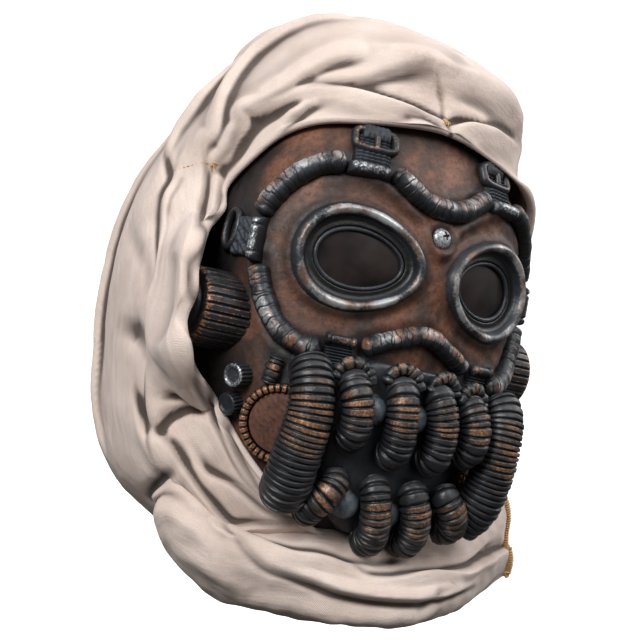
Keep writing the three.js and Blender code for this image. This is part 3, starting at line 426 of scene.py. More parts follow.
def lens_share(points, side):
    """How far points are from a lens's middle, 1 on its outline. The back of the head is far off."""
    middle, across, up, out = lens_frame(side)
    away = points - middle
    x = away @ across / LENS_HALF_WIDTH
    y = away @ up / LENS_HALF_HEIGHT / (1 + LENS_NARROWING * SIDES[side] * x)
    return np.where(away @ out > -70, np.hypot(x, y), 9.0)


def squared_gaps(points, cloud):
    """Squared distance from each of a list of points to each of a cloud."""
    return (points**2).sum(1)[:, None] + (cloud**2).sum(1)[None] - 2 * points @ cloud.T


def nearest(points, cloud):
    """Distance from each point of a grid to the nearest of a cloud."""
    least = squared_gaps(points.reshape(-1, 3), cloud).min(1)
    return np.sqrt(np.maximum(least, 0)).reshape(points.shape[:-1])


columns = np.interp(np.linspace(0, 1, 270, endpoint=False), [0, 0.1, 0.9, 1], [-180, -80, 80, 180])
drops = np.interp(np.linspace(0, 1, 165), [0, 0.08, 0.95, 1], [0.004, 0.13, 0.86, NECK_DROP])
angle_grid, drop_grid = np.meshgrid(columns, drops)
outside = on_head(angle_grid, drop_grid, 0)
lip = nearest(outside, head_route(BROW_LIP, 120)[0])
rims = np.minimum(lens_share(outside, "right"), lens_share(outside, "left")) - 1
screw = np.linalg.norm(outside - on_head(0, SCREW_DROP, 0), axis=-1)
tubes = [head_route(rows, 60, sign)[0] for rows in (BROW_ROUTE, NOSE_ROUTE, TEMPLE_ROUTE, CHEEK_ROUTE)
         for sign in (-1, 1)]
by_tube = nearest(outside, np.concatenate(tubes))
# Angles and drops of the fittings on each cheek, round which the latex is darkened by dark airbrush and by
# painted shade.
FITTINGS = np.array([[47.5, 0.616], [50, 0.664], [35.5, 0.683], [32, 0.66], [24.5, 0.187], [24.7, 0.217],
                     [50, 0.385], [23.5, 0.553], [30, 0.6], [29, 0.76], [60, 0.5], [38, 0.59]])
fitted = [on_head(sign * FITTINGS[:, 0], FITTINGS[:, 1], 0) for sign in (-1, 1)]
by_part = nearest(outside, np.concatenate(fitted))
mouth = ease(0.54, 0.6, drop_grid) * (1 - ease(30, 42, np.abs(angle_grid)))
crinkle = np.sin(angle_grid * 0.9 + 6 * np.sin(drop_grid * 31)) * np.sin(drop_grid * 97 + angle_grid * 0.4)
lift = (2.6 * bell(lip, 3.4) + 2.2 * bell(rims, 0.09) * (rims > -0.2) + 1.6 * bell(screw - 8.5, 2.2)
        - 1.2 * bell(screw, 6) + 0.9 * bell(by_tube - 9, 3) + 0.25 * crinkle)
outside = on_head(angle_grid, drop_grid, lift)
# Painted shade, deepening the dark airbrush: darker towards the hood's edge at the temples and over the
# forehead, where the hood shades the latex, under and between the mouth hoses, and round the tubes, fittings,
# rims and screw.
shade = np.clip(0.95 * ease(47, 61, np.abs(angle_grid)) + 0.6 * (1 - ease(0.145, 0.19, drop_grid))
                + 0.75 * bell(by_tube, 10) + 0.7 * bell(by_part, 20) + 0.8 * mouth
                + 0.6 * bell(np.maximum(rims, 0), 0.13) + 0.5 * bell(screw - 5, 4), 0, 1)
# Lighter rubbed paint on the lip below the brow tube and round the rims: a painted highlight on the raised
# latex.
rub = 0.55 * bell(lip, 2.6) + 0.35 * bell(rims - 0.05, 0.05)
inner_angles, inner_rows = np.meshgrid(columns, np.linspace(NECK_DROP, 0.012, 40))
inside = on_head(inner_angles, inner_rows, -HEAD_WALL)
inside[..., 2] = np.minimum(inside[..., 2], 0)
inside[0, :, 2] = outside[-1, :, 2]
latex = painted("latex_brown", (66, 46, 38), (128, 83, 60), (124, 88, 70), (142, 108, 90),
                cover=0.3, rough=0.57, grain=1.2)
# The inside of the head is darkened a little as painted shade.
piece("mask_skin", [closed(
    np.concatenate([outside, inside]),
    holes=lambda p: np.minimum(lens_share(p, "right"), lens_share(p, "left")) < 0.86,
    shade=np.concatenate([shade, 0 * inner_rows + 0.3]), rub=np.concatenate([rub, 0 * inner_rows]))],
    latex, ["mask_shell"])

# Goggles. Each socket is a thick soft ring of latex moulded with the head and painted blue-black,
# dry-brushed silver. A thin bead sits at the bottom of its recess and holds the smoky plastic pane.
black_latex = painted("latex_blue_black", (28, 31, 36), (46, 52, 60), (112, 96, 88),
                      (196, 202, 206), cover=0.2, shine=0.35, rough=0.4)
rim_latex = painted("latex_rim", (34, 37, 42), (56, 61, 67), (132, 104, 88), (204, 208, 210),
                    cover=0.5, shine=0.45, rough=0.4, soft=0.5, patches=70)
silver_latex = painted("latex_silver", (36, 39, 44), (58, 62, 68), (110, 112, 116),
                       (200, 204, 206), cover=0.34, shine=0.5, rough=0.38)
rim_section = through([[0, -21], [0, -6], [-0.1, 0.5], [0.35, 3], [1.5, 5], [3.2, 6], [5.0, 5.2], [6.2, 3.1],
                       [6.9, 1.0], [8.6, 0.1], [11.2, 0.2], [11.2, -4], [11.2, -21]], 90)
for side, sign in SIDES.items():
    turn = full_turn(150)[:, None]
    waver = 0.25 * np.sin(turn * 7 + 1) * np.sin(turn * 3 + sign) * bell(rim_section[:, 0] - 3, 3)
    grid = lens_loop(side, rim_section[:, 0], rim_section[:, 1] + waver)
    patches = 0.72 + 0.28 * np.sin(turn * 3 + 2 * sign) * np.sin(turn * 5 + 1)
    crest = ease(2.0, 5.6, rim_section[:, 1]) * patches
    # The rim's inner wall, down into the recess, is darkened as painted shade.
    piece(f"goggle_rim_{side}", [ring(grid, rub=crest, shade=ease(6.0, 8.5, rim_section[:, 0]))],
          rim_latex, [f"lens_rim_{side}"])
    bead_turn = full_turn(16)
    grid = lens_loop(side, 12.75 + 1.15 * np.cos(bead_turn), -0.8 + 1.2 * np.sin(bead_turn))
    piece(f"goggle_bead_{side}", [ring(grid, rub=np.clip(np.sin(bead_turn), 0, 1) * 0.5, shade=0.15)],
          silver_latex, [f"lens_bead_{side}"])
glass, dye, shader = new_finish("pane_smoke", Specular_IOR_Level=0.35, IOR=1.45)
haze = dye.noise(35, 3).between(0.3, 0.75)
feed(dye, shader, Base_Color=haze.blend(tint(14, 12, 13), tint(52, 44, 42)),
     Roughness=0.14 + haze * 0.1, Normal=dye.bump(dye.noise(25, 2), 1.2, 0.35))
for side in SIDES:
    middle, _, _, out = lens_frame(side)
    reach = lens_loop(side, 11.6, 0, 120) - middle
    run = np.linspace(0.02, 1, 26)[:, None]
    top = middle + reach * run + (-2.3 + 1.6 * (1 - run**2)) * out
    under = middle + reach * run[::-1] - 4.2 * out
    grid = np.concatenate([top, under], 1).transpose(1, 0, 2)
    piece(f"goggle_pane_{side}", [closed(grid)], glass, [f"lens_pane_{side}"])

# Brow screw. A dummy screw head with a domed face and a cross slot, moulded in the latex between
# the brows and brushed silver. Its slot stands turned and off the middle and is not brushed. The
# slot and the screw's foot are darkened as painted shade.
radius = np.concatenate([np.linspace(0.02, 5.6, 44), [5.7, 5.7, 4, 0.02]])[:, None]
face = 0.6 + 3.0 * np.sqrt(1 - np.linspace(0, 0.99, 44) ** 2.6)
height = np.concatenate([face, [0.3, -2, -2, -2]])[:, None]
turn = full_turn(120)[None]
x, y = radius * np.cos(turn), radius * np.sin(turn)
tilted = np.cos(0.3) * x + np.sin(0.3) * y - 1.5, -np.sin(0.3) * x + np.cos(0.3) * y - 0.9
slot_depth = np.maximum(1 - ease(0.35, 0.75, np.abs(tilted[0])), 1 - ease(0.35, 0.75, np.abs(tilted[1])))
slot_depth = slot_depth * (height > 0.6) * (1 - ease(2.0, 2.6, np.hypot(*tilted)))
grid = from_frame(head_frame(0, SCREW_DROP), x, y, height - 1.2 * slot_depth)
piece("screw_head", [closed(grid, rub=(1 - slot_depth) * (height > 1),
                            shade=np.maximum(slot_depth, ease(4.9, 5.6, radius) * 0.9))],
      silver_latex, ["brow_screw"])

# Banded tubes round the goggles. Soft latex rolls cut across by uneven grooves while in clay,
# painted black, with silver and copper caught along the top of each band, dry-brushed paint that
# leans to the upper side as a painted highlight. The grooves and the underside are darkened as painted shade.
def sweep(path, out, x, y):
    """Rings round a path: offsets x across it and y outwards, square to the way along."""
    way = unit(np.gradient(path, axis=0))
    side = unit(np.cross(way, out))
    up = np.cross(side, way)
    return path[:, None] + x[..., None] * side[:, None] + y[..., None] * up[:, None]


def round_bar(path, out, radius, count, flat=1.0):
    """A round section of a radius for each point of the path, closed by rounded ends."""
    turn = full_turn(count)[None]
    radius = np.asarray(radius, float)[:, None]
    return sweep(path, out, radius * np.sin(turn), flat * radius * np.cos(turn)), np.cos(turn)


def rounded_ends(steps, length, reach):
    """1 along a bar, falling as a quarter circle to 0 at both of its ends."""
    s = np.linspace(0, length, steps)
    near = np.clip(np.minimum(s, length - s) / reach, 0, 1)
    return np.sqrt(1 - (1 - near) ** 2) + 0.02


def banded_tube(name, rows, radius, sign, seed, finish, replaces, high=1.0):
    """A tube along a route with narrow grooves at uneven distances, like thick string wound round."""
    steps = 300
    path, out, length = head_route(rows, steps, sign)
    s = np.linspace(0, length, steps)
    chance = np.random.default_rng(seed)
    cuts = np.cumsum(chance.uniform(1.6, 5.2, int(length / 2)))
    cuts = cuts[cuts < length - 1]
    depth = chance.uniform(0.12, 0.5, len(cuts))
    turn = full_turn(36)[None]
    slant = 0.5 * np.sin(turn * 2 + cuts[:, None]) + 0.4 * np.sin(turn * 5 + 2 * cuts[:, None])
    spread = 0.45 + 0.55 * np.sin(turn + cuts[:, None] * 3) ** 2
    line = bell(s[:, None, None] - cuts[:, None] - slant, 0.3) * (depth[:, None] * spread)
    groove = line.sum(1)
    swell = 0.2 * np.sin(s * 0.35 + seed) + 0.12 * np.sin(s * 0.9)
    size = ((radius + swell)[:, None] - groove) * rounded_ends(steps, length, 3.5)[:, None]
    grid = sweep(path, out, size * np.sin(turn), size * np.cos(turn))
    patch = 0.9 + 0.2 * np.sin(s * 0.5 + seed) * np.sin(s * 0.21 + 2 * seed)
    # The rub leans towards the upper side as a painted highlight; the grooves and the underside get painted
    # shade.
    facing = 0.8 * np.cos(turn) - 0.6 * high * np.sin(turn)
    crest = (1 - np.clip(groove * 2, 0, 1)) * ease(0.2, 0.88, facing) * patch[:, None]
    groove_and_underside_shade = np.clip(np.clip(groove * 3.2, 0, 1) + 0.6 * (1 - ease(-0.2, 0.5, facing)), 0, 1)
    piece(name, [closed(grid, rub=crest, shade=groove_and_underside_shade)], finish, replaces)


tube_latex = painted("latex_tube", (28, 31, 35), (48, 54, 61), (150, 100, 72), (192, 196, 198),
                     cover=0.34, shine=0.35, rough=0.38, soft=0.6, speckle=0.8, patches=90)
banded_tube("tube_brow", BROW_ROUTE, 5.8, 1, 3, tube_latex, ["brow_tube"])
banded_tube("tube_nose", NOSE_ROUTE, 5.2, 1, 5, tube_latex, ["nose_tube"])
for side, sign in SIDES.items():
    banded_tube(f"tube_temple_{side}", TEMPLE_ROUTE, 5.8, sign, 11 + sign, tube_latex,
                [f"temple_tube_{side}"], -sign)
    banded_tube(f"tube_cheek_{side}", CHEEK_ROUTE, 5.8, sign, 21 + sign, tube_latex,
                [f"cheek_tube_{side}"], 0.2 * sign)

# Straps, clips and buckles. All are moulded latex: ribbed dummy straps in matt blue-grey, clips and
# buckle frames brushed silver and copper, a prong across each upper buckle and a roller below.
def frame_at(side, angle, drop):
    """Frame of a fitting on the head: its point and the ways across, up and out."""
    return head_frame(SIDES[side] * angle, drop)


def pad(side, angle, drop, half_width, half_height, height, rub, shade, rows=60, under=-3.5):
    """A pad with rounded edges: its top follows height(x, y), its sides go down into the latex. It is
    rubbed on top and darkened lower down as painted shade, both by its height, each between a low
    and a high end, and the rubbing also by a share."""
    y = half_height * np.sin(np.linspace(-np.pi / 2, np.pi / 2, rows) * 0.999)[:, None]
    y = 0.5 * y + 0.5 * np.linspace(-half_height, half_height, rows)[:, None]
    s = np.sin(np.linspace(-np.pi / 2, np.pi / 2, 48))[None]
    x = half_width * s
    round_off = np.sqrt(np.clip(1 - np.abs(s) ** 9, 0, 1) * np.clip(1 - np.abs(y / half_height) ** 12, 0, 1))
    top = under + (height(x, y) - under) * (0.15 + 0.85 * round_off)
    h = np.concatenate([top, np.full(top.shape, under)], 1)
    grid = from_frame(frame_at(side, angle, drop), np.concatenate([x, x[:, ::-1]], 1), y, h)
    return closed(grid, rub=ease(rub[0], rub[1], h) * rub[2], shade=1 - ease(*shade, h))


def hoop(place, x, y, height, thick, high, rub):
    """A bar along a closed outline in a fitting's frame, oval in section, rubbed on its top and darkened
    below as painted shade.
    """
    path = from_frame(place, x, y, height)
    side = unit(np.cross(unit(np.roll(path, -1, 0) - np.roll(path, 1, 0)), place[3]))[:, None]
    turn = full_turn(14)[:, None]
    top = np.clip(np.sin(turn[:, 0]), 0, 1)
    grid = path[:, None] + thick * np.cos(turn) * side + high * np.sin(turn) * place[3]
    return ring(grid, rub=top * rub, shade=0.2 * (1 - top))


strap_latex = painted("latex_strap", (30, 34, 40), (50, 57, 66), (96, 102, 110), (150, 156, 162),
                      cover=0.2, shine=0.1, rough=0.6)
copper_latex = painted("latex_copper", (26, 28, 32), (44, 47, 54), (128, 84, 60), (196, 142, 104),
                       cover=0.2, shine=0.35, rough=0.38)
# Heights of the pads over the head at distances across and up, in millimetres.
clip_across = lambda x, y: 9 - 1.1 * bell(np.abs(x) - 7.2, 0.7) - 2.2 * (y / 3.5) ** 2
clip_upright = lambda x, y: 9 - 1.2 * bell(np.abs(y) - 7.0, 0.7) - 2.4 * (x / 3.5) ** 2
folded_end = lambda x, y: 6.0 + 0.3 * np.cos(x * 2 * np.pi / 2.6) - 1.2 * ease(1, 4, -y)
ridged = lambda x, y: (3.6 - 0.9 * ease(2, 5, y) + 0.55 * np.cos(y * 2 * np.pi / 2.1)
                       + 0.25 * np.cos(x * 2 * np.pi / 3.2))
uneven = lambda x, y: 3.5 + 0.35 * np.sin(x * 1.9 + 2 * np.sin(y * 0.9)) + 0.3 * np.sin(y * 1.3 + x)
ribs_across = lambda x, y: 4.4 + 0.75 * np.cos((y + 0.3) * 2 * np.pi / 1.5)
round_x, round_y = np.cos(full_turn(96)), np.sin(full_turn(96))
square_x, square_y = (np.sign(t) * np.abs(t) ** 0.42 for t in (round_x, round_y))
for side in SIDES:
    piece(f"clip_top_{side}", [pad(side, 24.8, 0.2425, 12, 3.5, clip_across, (5, 8.9, 0.78), (0, 7))],
          silver_latex, [f"top_clip_{side}"])
    piece(f"strap_top_{side}", [pad(side, 24.7, 0.2065, 10.6, 10.4, ridged, (3.4, 4.3, 0.5), (1.5, 3.6), 110),
                                pad(side, 24.5, 0.176, 8.4, 4.4, folded_end, (5.4, 6.4, 0.6), (2, 5.6))],
          strap_latex, [f"top_strap_{side}"])
    place = frame_at(side, 24.5, 0.187)
    up = np.linspace(-1, 1, 40)
    prong, facing = round_bar(from_frame(place, 0.6, 6.2 * up, 3.4 + 0.8 * np.cos(up * 2)), place[3],
                              1.7 * rounded_ends(40, 12.4, 2), 14)
    piece(f"buckle_top_{side}", [hoop(place, 11.2 * square_x, 5.7 * square_y, 2.3, 2.2, 2.7, 0.82),
                                 closed(prong, rub=ease(0.2, 0.9, facing) * 0.8, shade=0.1)],
          copper_latex, [f"top_buckle_{side}"])
    piece(f"clip_temple_{side}", [pad(side, 45, 0.3885, 3.5, 12, clip_upright, (5, 8.9, 0.8), (0, 7), 90)],
          silver_latex, [f"temple_clip_{side}"])
    piece(f"strap_temple_{side}", [pad(side, 50.5, 0.385, 7.5, 11, uneven, (3.3, 4.0, 0.5), (1.0, 3.4))],
          strap_latex, [f"temple_strap_{side}"])
    place = frame_at(side, 55.8, 0.375)
    piece(f"buckle_temple_{side}", [hoop(place, 5.2 * round_x, 10.2 * round_y, 2.2, 1.8, 2.2, 0.75)],
          copper_latex, [f"temple_buckle_{side}"])
    place = frame_at(side, 23.5, 0.53)
    s = np.linspace(-8.5, 8.5, 60)
    flare = 2.6 + 0.6 * ease(5.5, 7, np.abs(s)) - 0.5 * bell(np.abs(s) - 5.2, 0.5)
    roller, facing = round_bar(from_frame(place, s, 0, 5.1), place[3], flare * rounded_ends(60, 17, 1.2), 22)
    piece(f"roller_lower_{side}", [closed(roller, rub=ease(0, 0.95, facing) * 0.8, shade=0.1)],
          copper_latex, [f"lower_roller_{side}"])
    ribbed = pad(side, 23.5, 0.553, 8, 6.5, ribs_across, (4.3, 5.2, 0.5), (2.5, 4.6), 130)
    piece(f"strap_lower_{side}", [ribbed], strap_latex, [f"lower_strap_{side}"])

# Canisters. A ribbed filter drum stands out of each cheek, with a rounded corner and a raised lid,
# moulded with the head. Its flat ribs are blue-black, and copper is rubbed on their edges. The
# grooves between the ribs are darkened as painted shade.
DRUM_FORWARD = 47.5
DRUM_DROP = 0.516
DRUM_RADIUS = 21
DRUM_COVER = 116.5


def turned(place, section, count, ribs=0, depth=0.0, ribbed=0.0, groove=0.16):
    """A form of revolution from radii and heights, with narrow grooves along it where ribbed is 1."""
    radius, height = section.T[..., None]
    turn = full_turn(count)[None]
    part = np.abs((turn * ribs / (2 * np.pi)) % 1 - 0.5)
    notch = (1 - ease(groove * 0.5, groove, part)) * np.reshape(ribbed, (-1, 1))
    reach = radius - depth * notch
    return from_frame(place, reach * np.cos(turn), reach * np.sin(turn), height), notch, part


for side, sign in SIDES.items():
    up, out = np.array([0, 0, 1.0]), np.array([float(sign), 0, 0])
    middle = np.array([sign * HEAD_HALF_WIDTH, -DRUM_FORWARD, HEAD_WALL - DRUM_DROP * HEAD_HEIGHT])
    section = through([*([DRUM_RADIUS, z] for z in (-23, -8, 4, 12)), [20.6, 15.4], [19.2, 17.4], [17, 18],
                       [15.2, 17.9], [14.4, 18.2], [14.1, 19.6], [13.3, 20.4], [11, 20.5], [6, 20.3],
                       [0.4, 20.2]], 110)
    high = section[:, 1:]
    ribbed = 1 - ease(15.5, 18, high)
    grid, notch, part = turned((middle, np.cross(up, out), up, out), section, 324, 27, 1.5, ribbed)
    rub = 0.5 + 0.4 * bell(part - 0.24, 0.06) * ribbed
    rub = rub + 0.4 * bell(high - 16.5, 1.5) + 0.12 * ease(18.3, 20, high)
    piece(f"drum_{side}", [closed(grid, rub=np.clip(rub, 0, 1) * (1 - notch), shade=notch)],
          copper_latex, [f"canister_{side}"])

# Knobs behind the mouth. Two short turned knobs a side with knurled edges, moulded with the head.
# The large one is brushed silver on its face, and the small one is left nearly black.
KNOBS = (("large", 47.5, 0.616, 6.5, 9, 0.42, silver_latex, "silver_latex"),
         ("small", 50, 0.664, 6.2, 7, 0.1, black_latex, "dark_latex"))
for side in SIDES:
    for name, angle, drop, size, length, brushed_and_highlit, finish, slot in KNOBS:
        section = through([[size, -6], [size, 0], [size, length - 1.6], [size - 0.5, length - 0.5],
                           [size - 1.5, length], [size - 2.3, length - 0.5], [size - 3, length - 0.9],
                           [1.5, length - 0.8], [0.2, length - 0.7]], 50)
        high = section[:, 1:] - length
        ribbed = 1 - ease(-1.4, -0.4, high)
        grid, notch, _ = turned(frame_at(side, angle, drop), section, 144, 18, 0.7, ribbed, 0.3)
        rub = (0.35 + brushed_and_highlit * ease(-1.5, -0.3, high)) * (1 - notch)
        # The knurled grooves are darkened as painted shade.
        piece(f"knob_{name}_{side}", [closed(grid, rub=rub, shade=notch * 0.8)], finish,
              [f"{name}_knob_{side}"])

# Inlet ports. A round disc with raked relief on each cheek, in a ring of small square pads. Both
# are moulded with the head, the disc painted brown and the pads rubbed copper.
port_latex = painted("latex_port", (98, 66, 54), (128, 86, 68), (142, 98, 76), (158, 116, 92),
                     cover=0.4, rough=0.5, soft=0.7, speckle=0.5, patches=120)
for side in SIDES:
    place = frame_at(side, 35.5, 0.683)
    section = through([[16.9, -6], [16.9, 1], [17.0, 3.4], [17.7, 4.7], [19.2, 5], [20.4, 4.6], [21, 3.2],
                       [21, -1], [21, -6]], 40)
    raised = ease(1.5, 3.4, section[:, 1:])
    grid, notch, _ = turned(place, section, 360, 36, 0.0, raised, 0.2)
    grid = grid - (notch * 1.5)[..., None] * place[3]
    # The gaps between the pads and their foot are darkened as painted shade.
    piece(f"port_pads_{side}", [ring(grid, rub=raised * (1 - notch), shade=np.maximum(notch, 1 - raised))],
          copper_latex, [f"port_ring_{side}"])
    run = np.linspace(0, 1, 60)
    radius = np.concatenate([0.2 + 15.6 * run, [16.1, 16.2, 16.2, 10, 0.2]])[:, None]
    height = np.concatenate([2.2 + 0.8 * (1 - run**2), [2.0, 1.2, -6, -6, -6]])[:, None]
    turn = full_turn(160)[None]
    x, y = radius * np.cos(turn), radius * np.sin(turn)
    rake = np.sin((x + 0.8 * y) * 1.5 + 1.3 * np.sin(x * 0.5 - y * 0.4)) * np.sin((x - y) * 0.35 + 1.0)
    rake = rake * (height > 1.9) * ease(0, 3, 15.8 - radius)
    # The disc's raked grooves are darkened a little as painted shade.
    piece(f"port_face_{side}", [closed(from_frame(place, x, y, height + 0.05 * rake), rub=0.5 + 0.3 * rake,
                                       shade=np.clip(0.1 - 0.1 * rake, 0, 1))],
          port_latex, [f"port_disc_{side}"])

# Muzzle. A raised plate under the mouth hoses, with a smooth dome between each two, in bare blue-grey
# paint with a slight shine. Round the domes the plate is darkened nearly to black as painted shade
# between the hoses, and its underside fully.
plate_latex = painted("latex_muzzle", (90, 100, 108), (120, 132, 142), (110, 118, 126),
                      (150, 158, 164), cover=0.3, shine=0.15, rough=0.4, grain=0.6)
# Domes by their angle and drop, and rows down the plate by their drop and half width as an angle.
DOMES = np.array([[-12.3, 0.632], [1, 0.632], [13.5, 0.632], [-13.8, 0.79], [1.2, 0.795], [15, 0.79]])
DOME_RADIUS = 8.2
PLATE_ROWS = np.array([[0.548, 14], [0.59, 23], [0.7, 24], [0.79, 23], [0.84, 12]])
s = np.linspace(-1, 1, 130)[None]
place = np.linspace(0, 1, 120)[:, None]
plate_drop = along(PLATE_ROWS, 0, place) + 0 * s
plate_angle = along(PLATE_ROWS, 1, place) * s
plate_lift = 8 * (1 - 0.5 * s**4) * np.sqrt(np.clip(1 - np.abs(place * 2 - 1) ** 14, 0, 1))
plate_lift = plate_lift * np.clip(1 - np.abs(s) ** 30, 0, 1)
flat = on_head(plate_angle, plate_drop, plate_lift)
centres = on_head(DOMES[:, 0], DOMES[:, 1], 5.6)
outs = head_frame(DOMES[:, 0], DOMES[:, 1])[3]
away = np.linalg.norm(np.cross(flat[:, :, None] - centres, outs), axis=-1)
dome = np.sqrt(np.maximum(DOME_RADIUS**2 - away**2, 0)).max(-1) - 2.4
top = on_head(plate_angle, plate_drop, plate_lift + np.maximum(dome, 0))
under = on_head(plate_angle[:, ::-6], plate_drop[:, ::-6], -2.5)
plain = 0 * under[..., 0]
# Painted shade: the plate round the domes is darkened nearly to black, the underside fully.
piece("muzzle", [closed(np.concatenate([top, under], 1),
                        rub=np.concatenate([ease(4, 6, dome) * 0.4, plain], 1),
                        shade=np.concatenate([0.85 * (1 - ease(0, 3, dome)), plain + 1], 1))],
      plate_latex, ["mouth_plate"])

# Mouth hoses. Soft latex hoses moulded over the muzzle, each a row of broad flattened rings with
# narrow grooves, black at the ends and rubbed copper on the rings towards the middle.
def ribbed_hose(name, rows, top, bottom, ribs, depth, sign, seed, replaces, count=30, copper=1.0):
    """A hose along a route, its radius dipping in a narrow groove between each two flat rings."""
    steps = ribs * 12
    path, out, length = head_route(rows, steps, sign)
    s = np.linspace(0, 1, steps)
    phase = s * ribs + 0.25 * np.sin(s * 9 + seed) + 0.1 * np.sin(s * 31 + 2 * seed)
    number = np.floor(phase)
    part = np.abs(phase % 1 - 0.5) * 2
    low = np.sin(number * 12.9 + seed * 7) * 0.5 + 0.5
    groove = ease(0.5, 1.0, part) * np.where(phase % 1 > 0.5, 0.7 + 0.3 * low, 1)
    turn = full_turn(count)[None]
    lump = 0.25 * np.sin(turn * 3 + number[:, None] * 2.4 + seed) * (1 - groove)[:, None]
    size = (top + (bottom - top) * s - depth * groove - 0.25 * low)[:, None] + lump
    size = size * rounded_ends(steps, length, top * 0.5)[:, None]
    grid = sweep(path, out, size * np.sin(turn), size * np.cos(turn))
    middle = bell(s - 0.4, 0.3)[:, None]
    crest = (1 - groove * 1.3)[:, None] * ease(-0.5, 0.75, np.cos(turn)) * (0.25 + 0.75 * middle) * copper
    patch = 0.84 + 0.16 * np.sin(turn * 2 + number[:, None] * 1.7 + seed)
    # The grooves between the rings are darkened as painted shade.
    dark = np.clip(groove * 1.4, 0, 1)[:, None]
    rub = np.clip(crest, 0, 1) * patch
    piece(name, [closed(grid, rub=rub, shade=dark)], hose_latex, replaces)


hose_latex = painted("latex_hose", (34, 36, 40), (52, 54, 58), (118, 82, 62), (200, 150, 108),
                     cover=0.42, shine=0.3, rough=0.38, soft=0.75, speckle=0.75)
SIDE_ROUTE = [[30.5, 0.572, 8], [30, 0.6, 15], [29.5, 0.65, 18.5], [30, 0.7, 19], [30.5, 0.75, 17.5],
              [31, 0.79, 11]]
FEEDER_ROUTE = [[37.5, 0.575, 2.5], [38.5, 0.6, 3.4], [39.5, 0.622, 2.5]]
for side, sign in SIDES.items():
    ribbed_hose(f"hose_side_{side}", SIDE_ROUTE, 11, 13.5, 28, 1.5, sign, 2 + sign, [f"side_hose_{side}"], 40)
    ribbed_hose(f"hose_feeder_{side}", FEEDER_ROUTE, 4.2, 4.2, 6, 0.9, sign, 5, [f"feeder_hose_{side}"], 18)
# Each hose: row and number, angle and drop of its top, middle and end, count of rings, and radius.
MOUTH_HOSES = (
    ("upper", 1, -20, 0.588, -19, 0.629, -18.5, 0.676, 12, 9),
    ("upper", 2, -6, 0.582, -5.5, 0.632, -5, 0.694, 15, 9),
    ("upper", 3, 5.5, 0.582, 7.5, 0.633, 8.5, 0.694, 15, 9),
    ("upper", 4, 18.5, 0.59, 19.5, 0.629, 20.5, 0.672, 12, 9),
    ("lower", 1, -20, 0.742, -21.5, 0.77, -24, 0.8, 12, 8.6),
    ("lower", 2, -7.5, 0.744, -6, 0.787, -3.5, 0.832, 15, 8.6),
    ("lower", 3, 6, 0.744, 8.5, 0.787, 11, 0.828, 14, 8.6),
    ("lower", 4, 18.5, 0.738, 21.5, 0.77, 25, 0.8, 11, 8.6),
)
for seed, (where, index, a0, d0, a1, d1, a2, d2, ribs, radius) in enumerate(MOUTH_HOSES):
    high = 8 + radius + 0.3
    rows = [[a0, d0, 8], [a0, d0 + 0.012, high - radius * 0.4], [a1, d1, high],
            [a2, d2 - 0.008, high - radius * 0.25], [a2, d2 + 0.01, 6.4]]
    ribbed_hose(f"hose_{where}_{index}", rows, radius * 0.92, radius, ribs, 1.3, 1, seed * 1.3,
                [f"{where}_hose_{index}"])
ARCHES = ((-25, -15, 0.572), (-11, -0.5, 0.562), (1.5, 11.5, 0.562), (14, 23, 0.572))
for number, (a0, a1, drop) in enumerate(ARCHES):
    rows = [[a0, drop + 0.022, 11.6], [a0 + 1.6, drop, 11.6], [(a0 + a1) / 2, drop - 0.01, 11.6],
            [a1 - 1.6, drop, 11.6], [a1, drop + 0.022, 11.6]]
    ribbed_hose(f"arch_{number + 1}", rows, 3.6, 3.6, 7, 0.9, 1, number, [f"hose_arch_{number + 1}"], 18)

# Hood. One loose sheet of plain-woven cotton, gathered in at two knots above the brow and sewn to
# the latex round the face. It rolls in soft folds over the crown and hangs in pleats at the sides.
CLOTH_WALL = 2
HOOD_TOP = 30
HOOD_HEIGHT = 318.4
HOOD_RIGHT = 129
HOOD_LEFT = 122
HOOD_FRONT = 112
HOOD_BACK = 125
HOOD_POWER = 2.2
HOOD_MIDDLE = [0, 0, -111]
# Rows down the hood: drop, then reach to the right, left, front and back, all as shares.
HOOD_SECTIONS = np.array([
    [0, 0, 0, 0, 0], [0.006, 0.2, 0.24, 0.22, 0.2], [0.025, 0.34, 0.44, 0.42, 0.368],
    [0.053, 0.45, 0.58, 0.58, 0.496], [0.099, 0.545, 0.72, 0.72, 0.616], [0.155, 0.63, 0.79, 0.78, 0.71],
    [0.217, 0.72, 0.85, 0.815, 0.79], [0.295, 0.81, 0.905, 0.84, 0.86], [0.403, 0.91, 0.95, 0.865, 0.94],
    [0.545, 0.96, 0.984, 0.875, 0.98], [0.691, 0.94, 0.967, 0.875, 0.955], [0.815, 0.89, 0.918, 0.85, 0.9],
    [0.899, 0.81, 0.836, 0.805, 0.82], [0.955, 0.64, 0.68, 0.79, 0.66], [1, 0.465, 0.51, 0.66, 0.47],
])
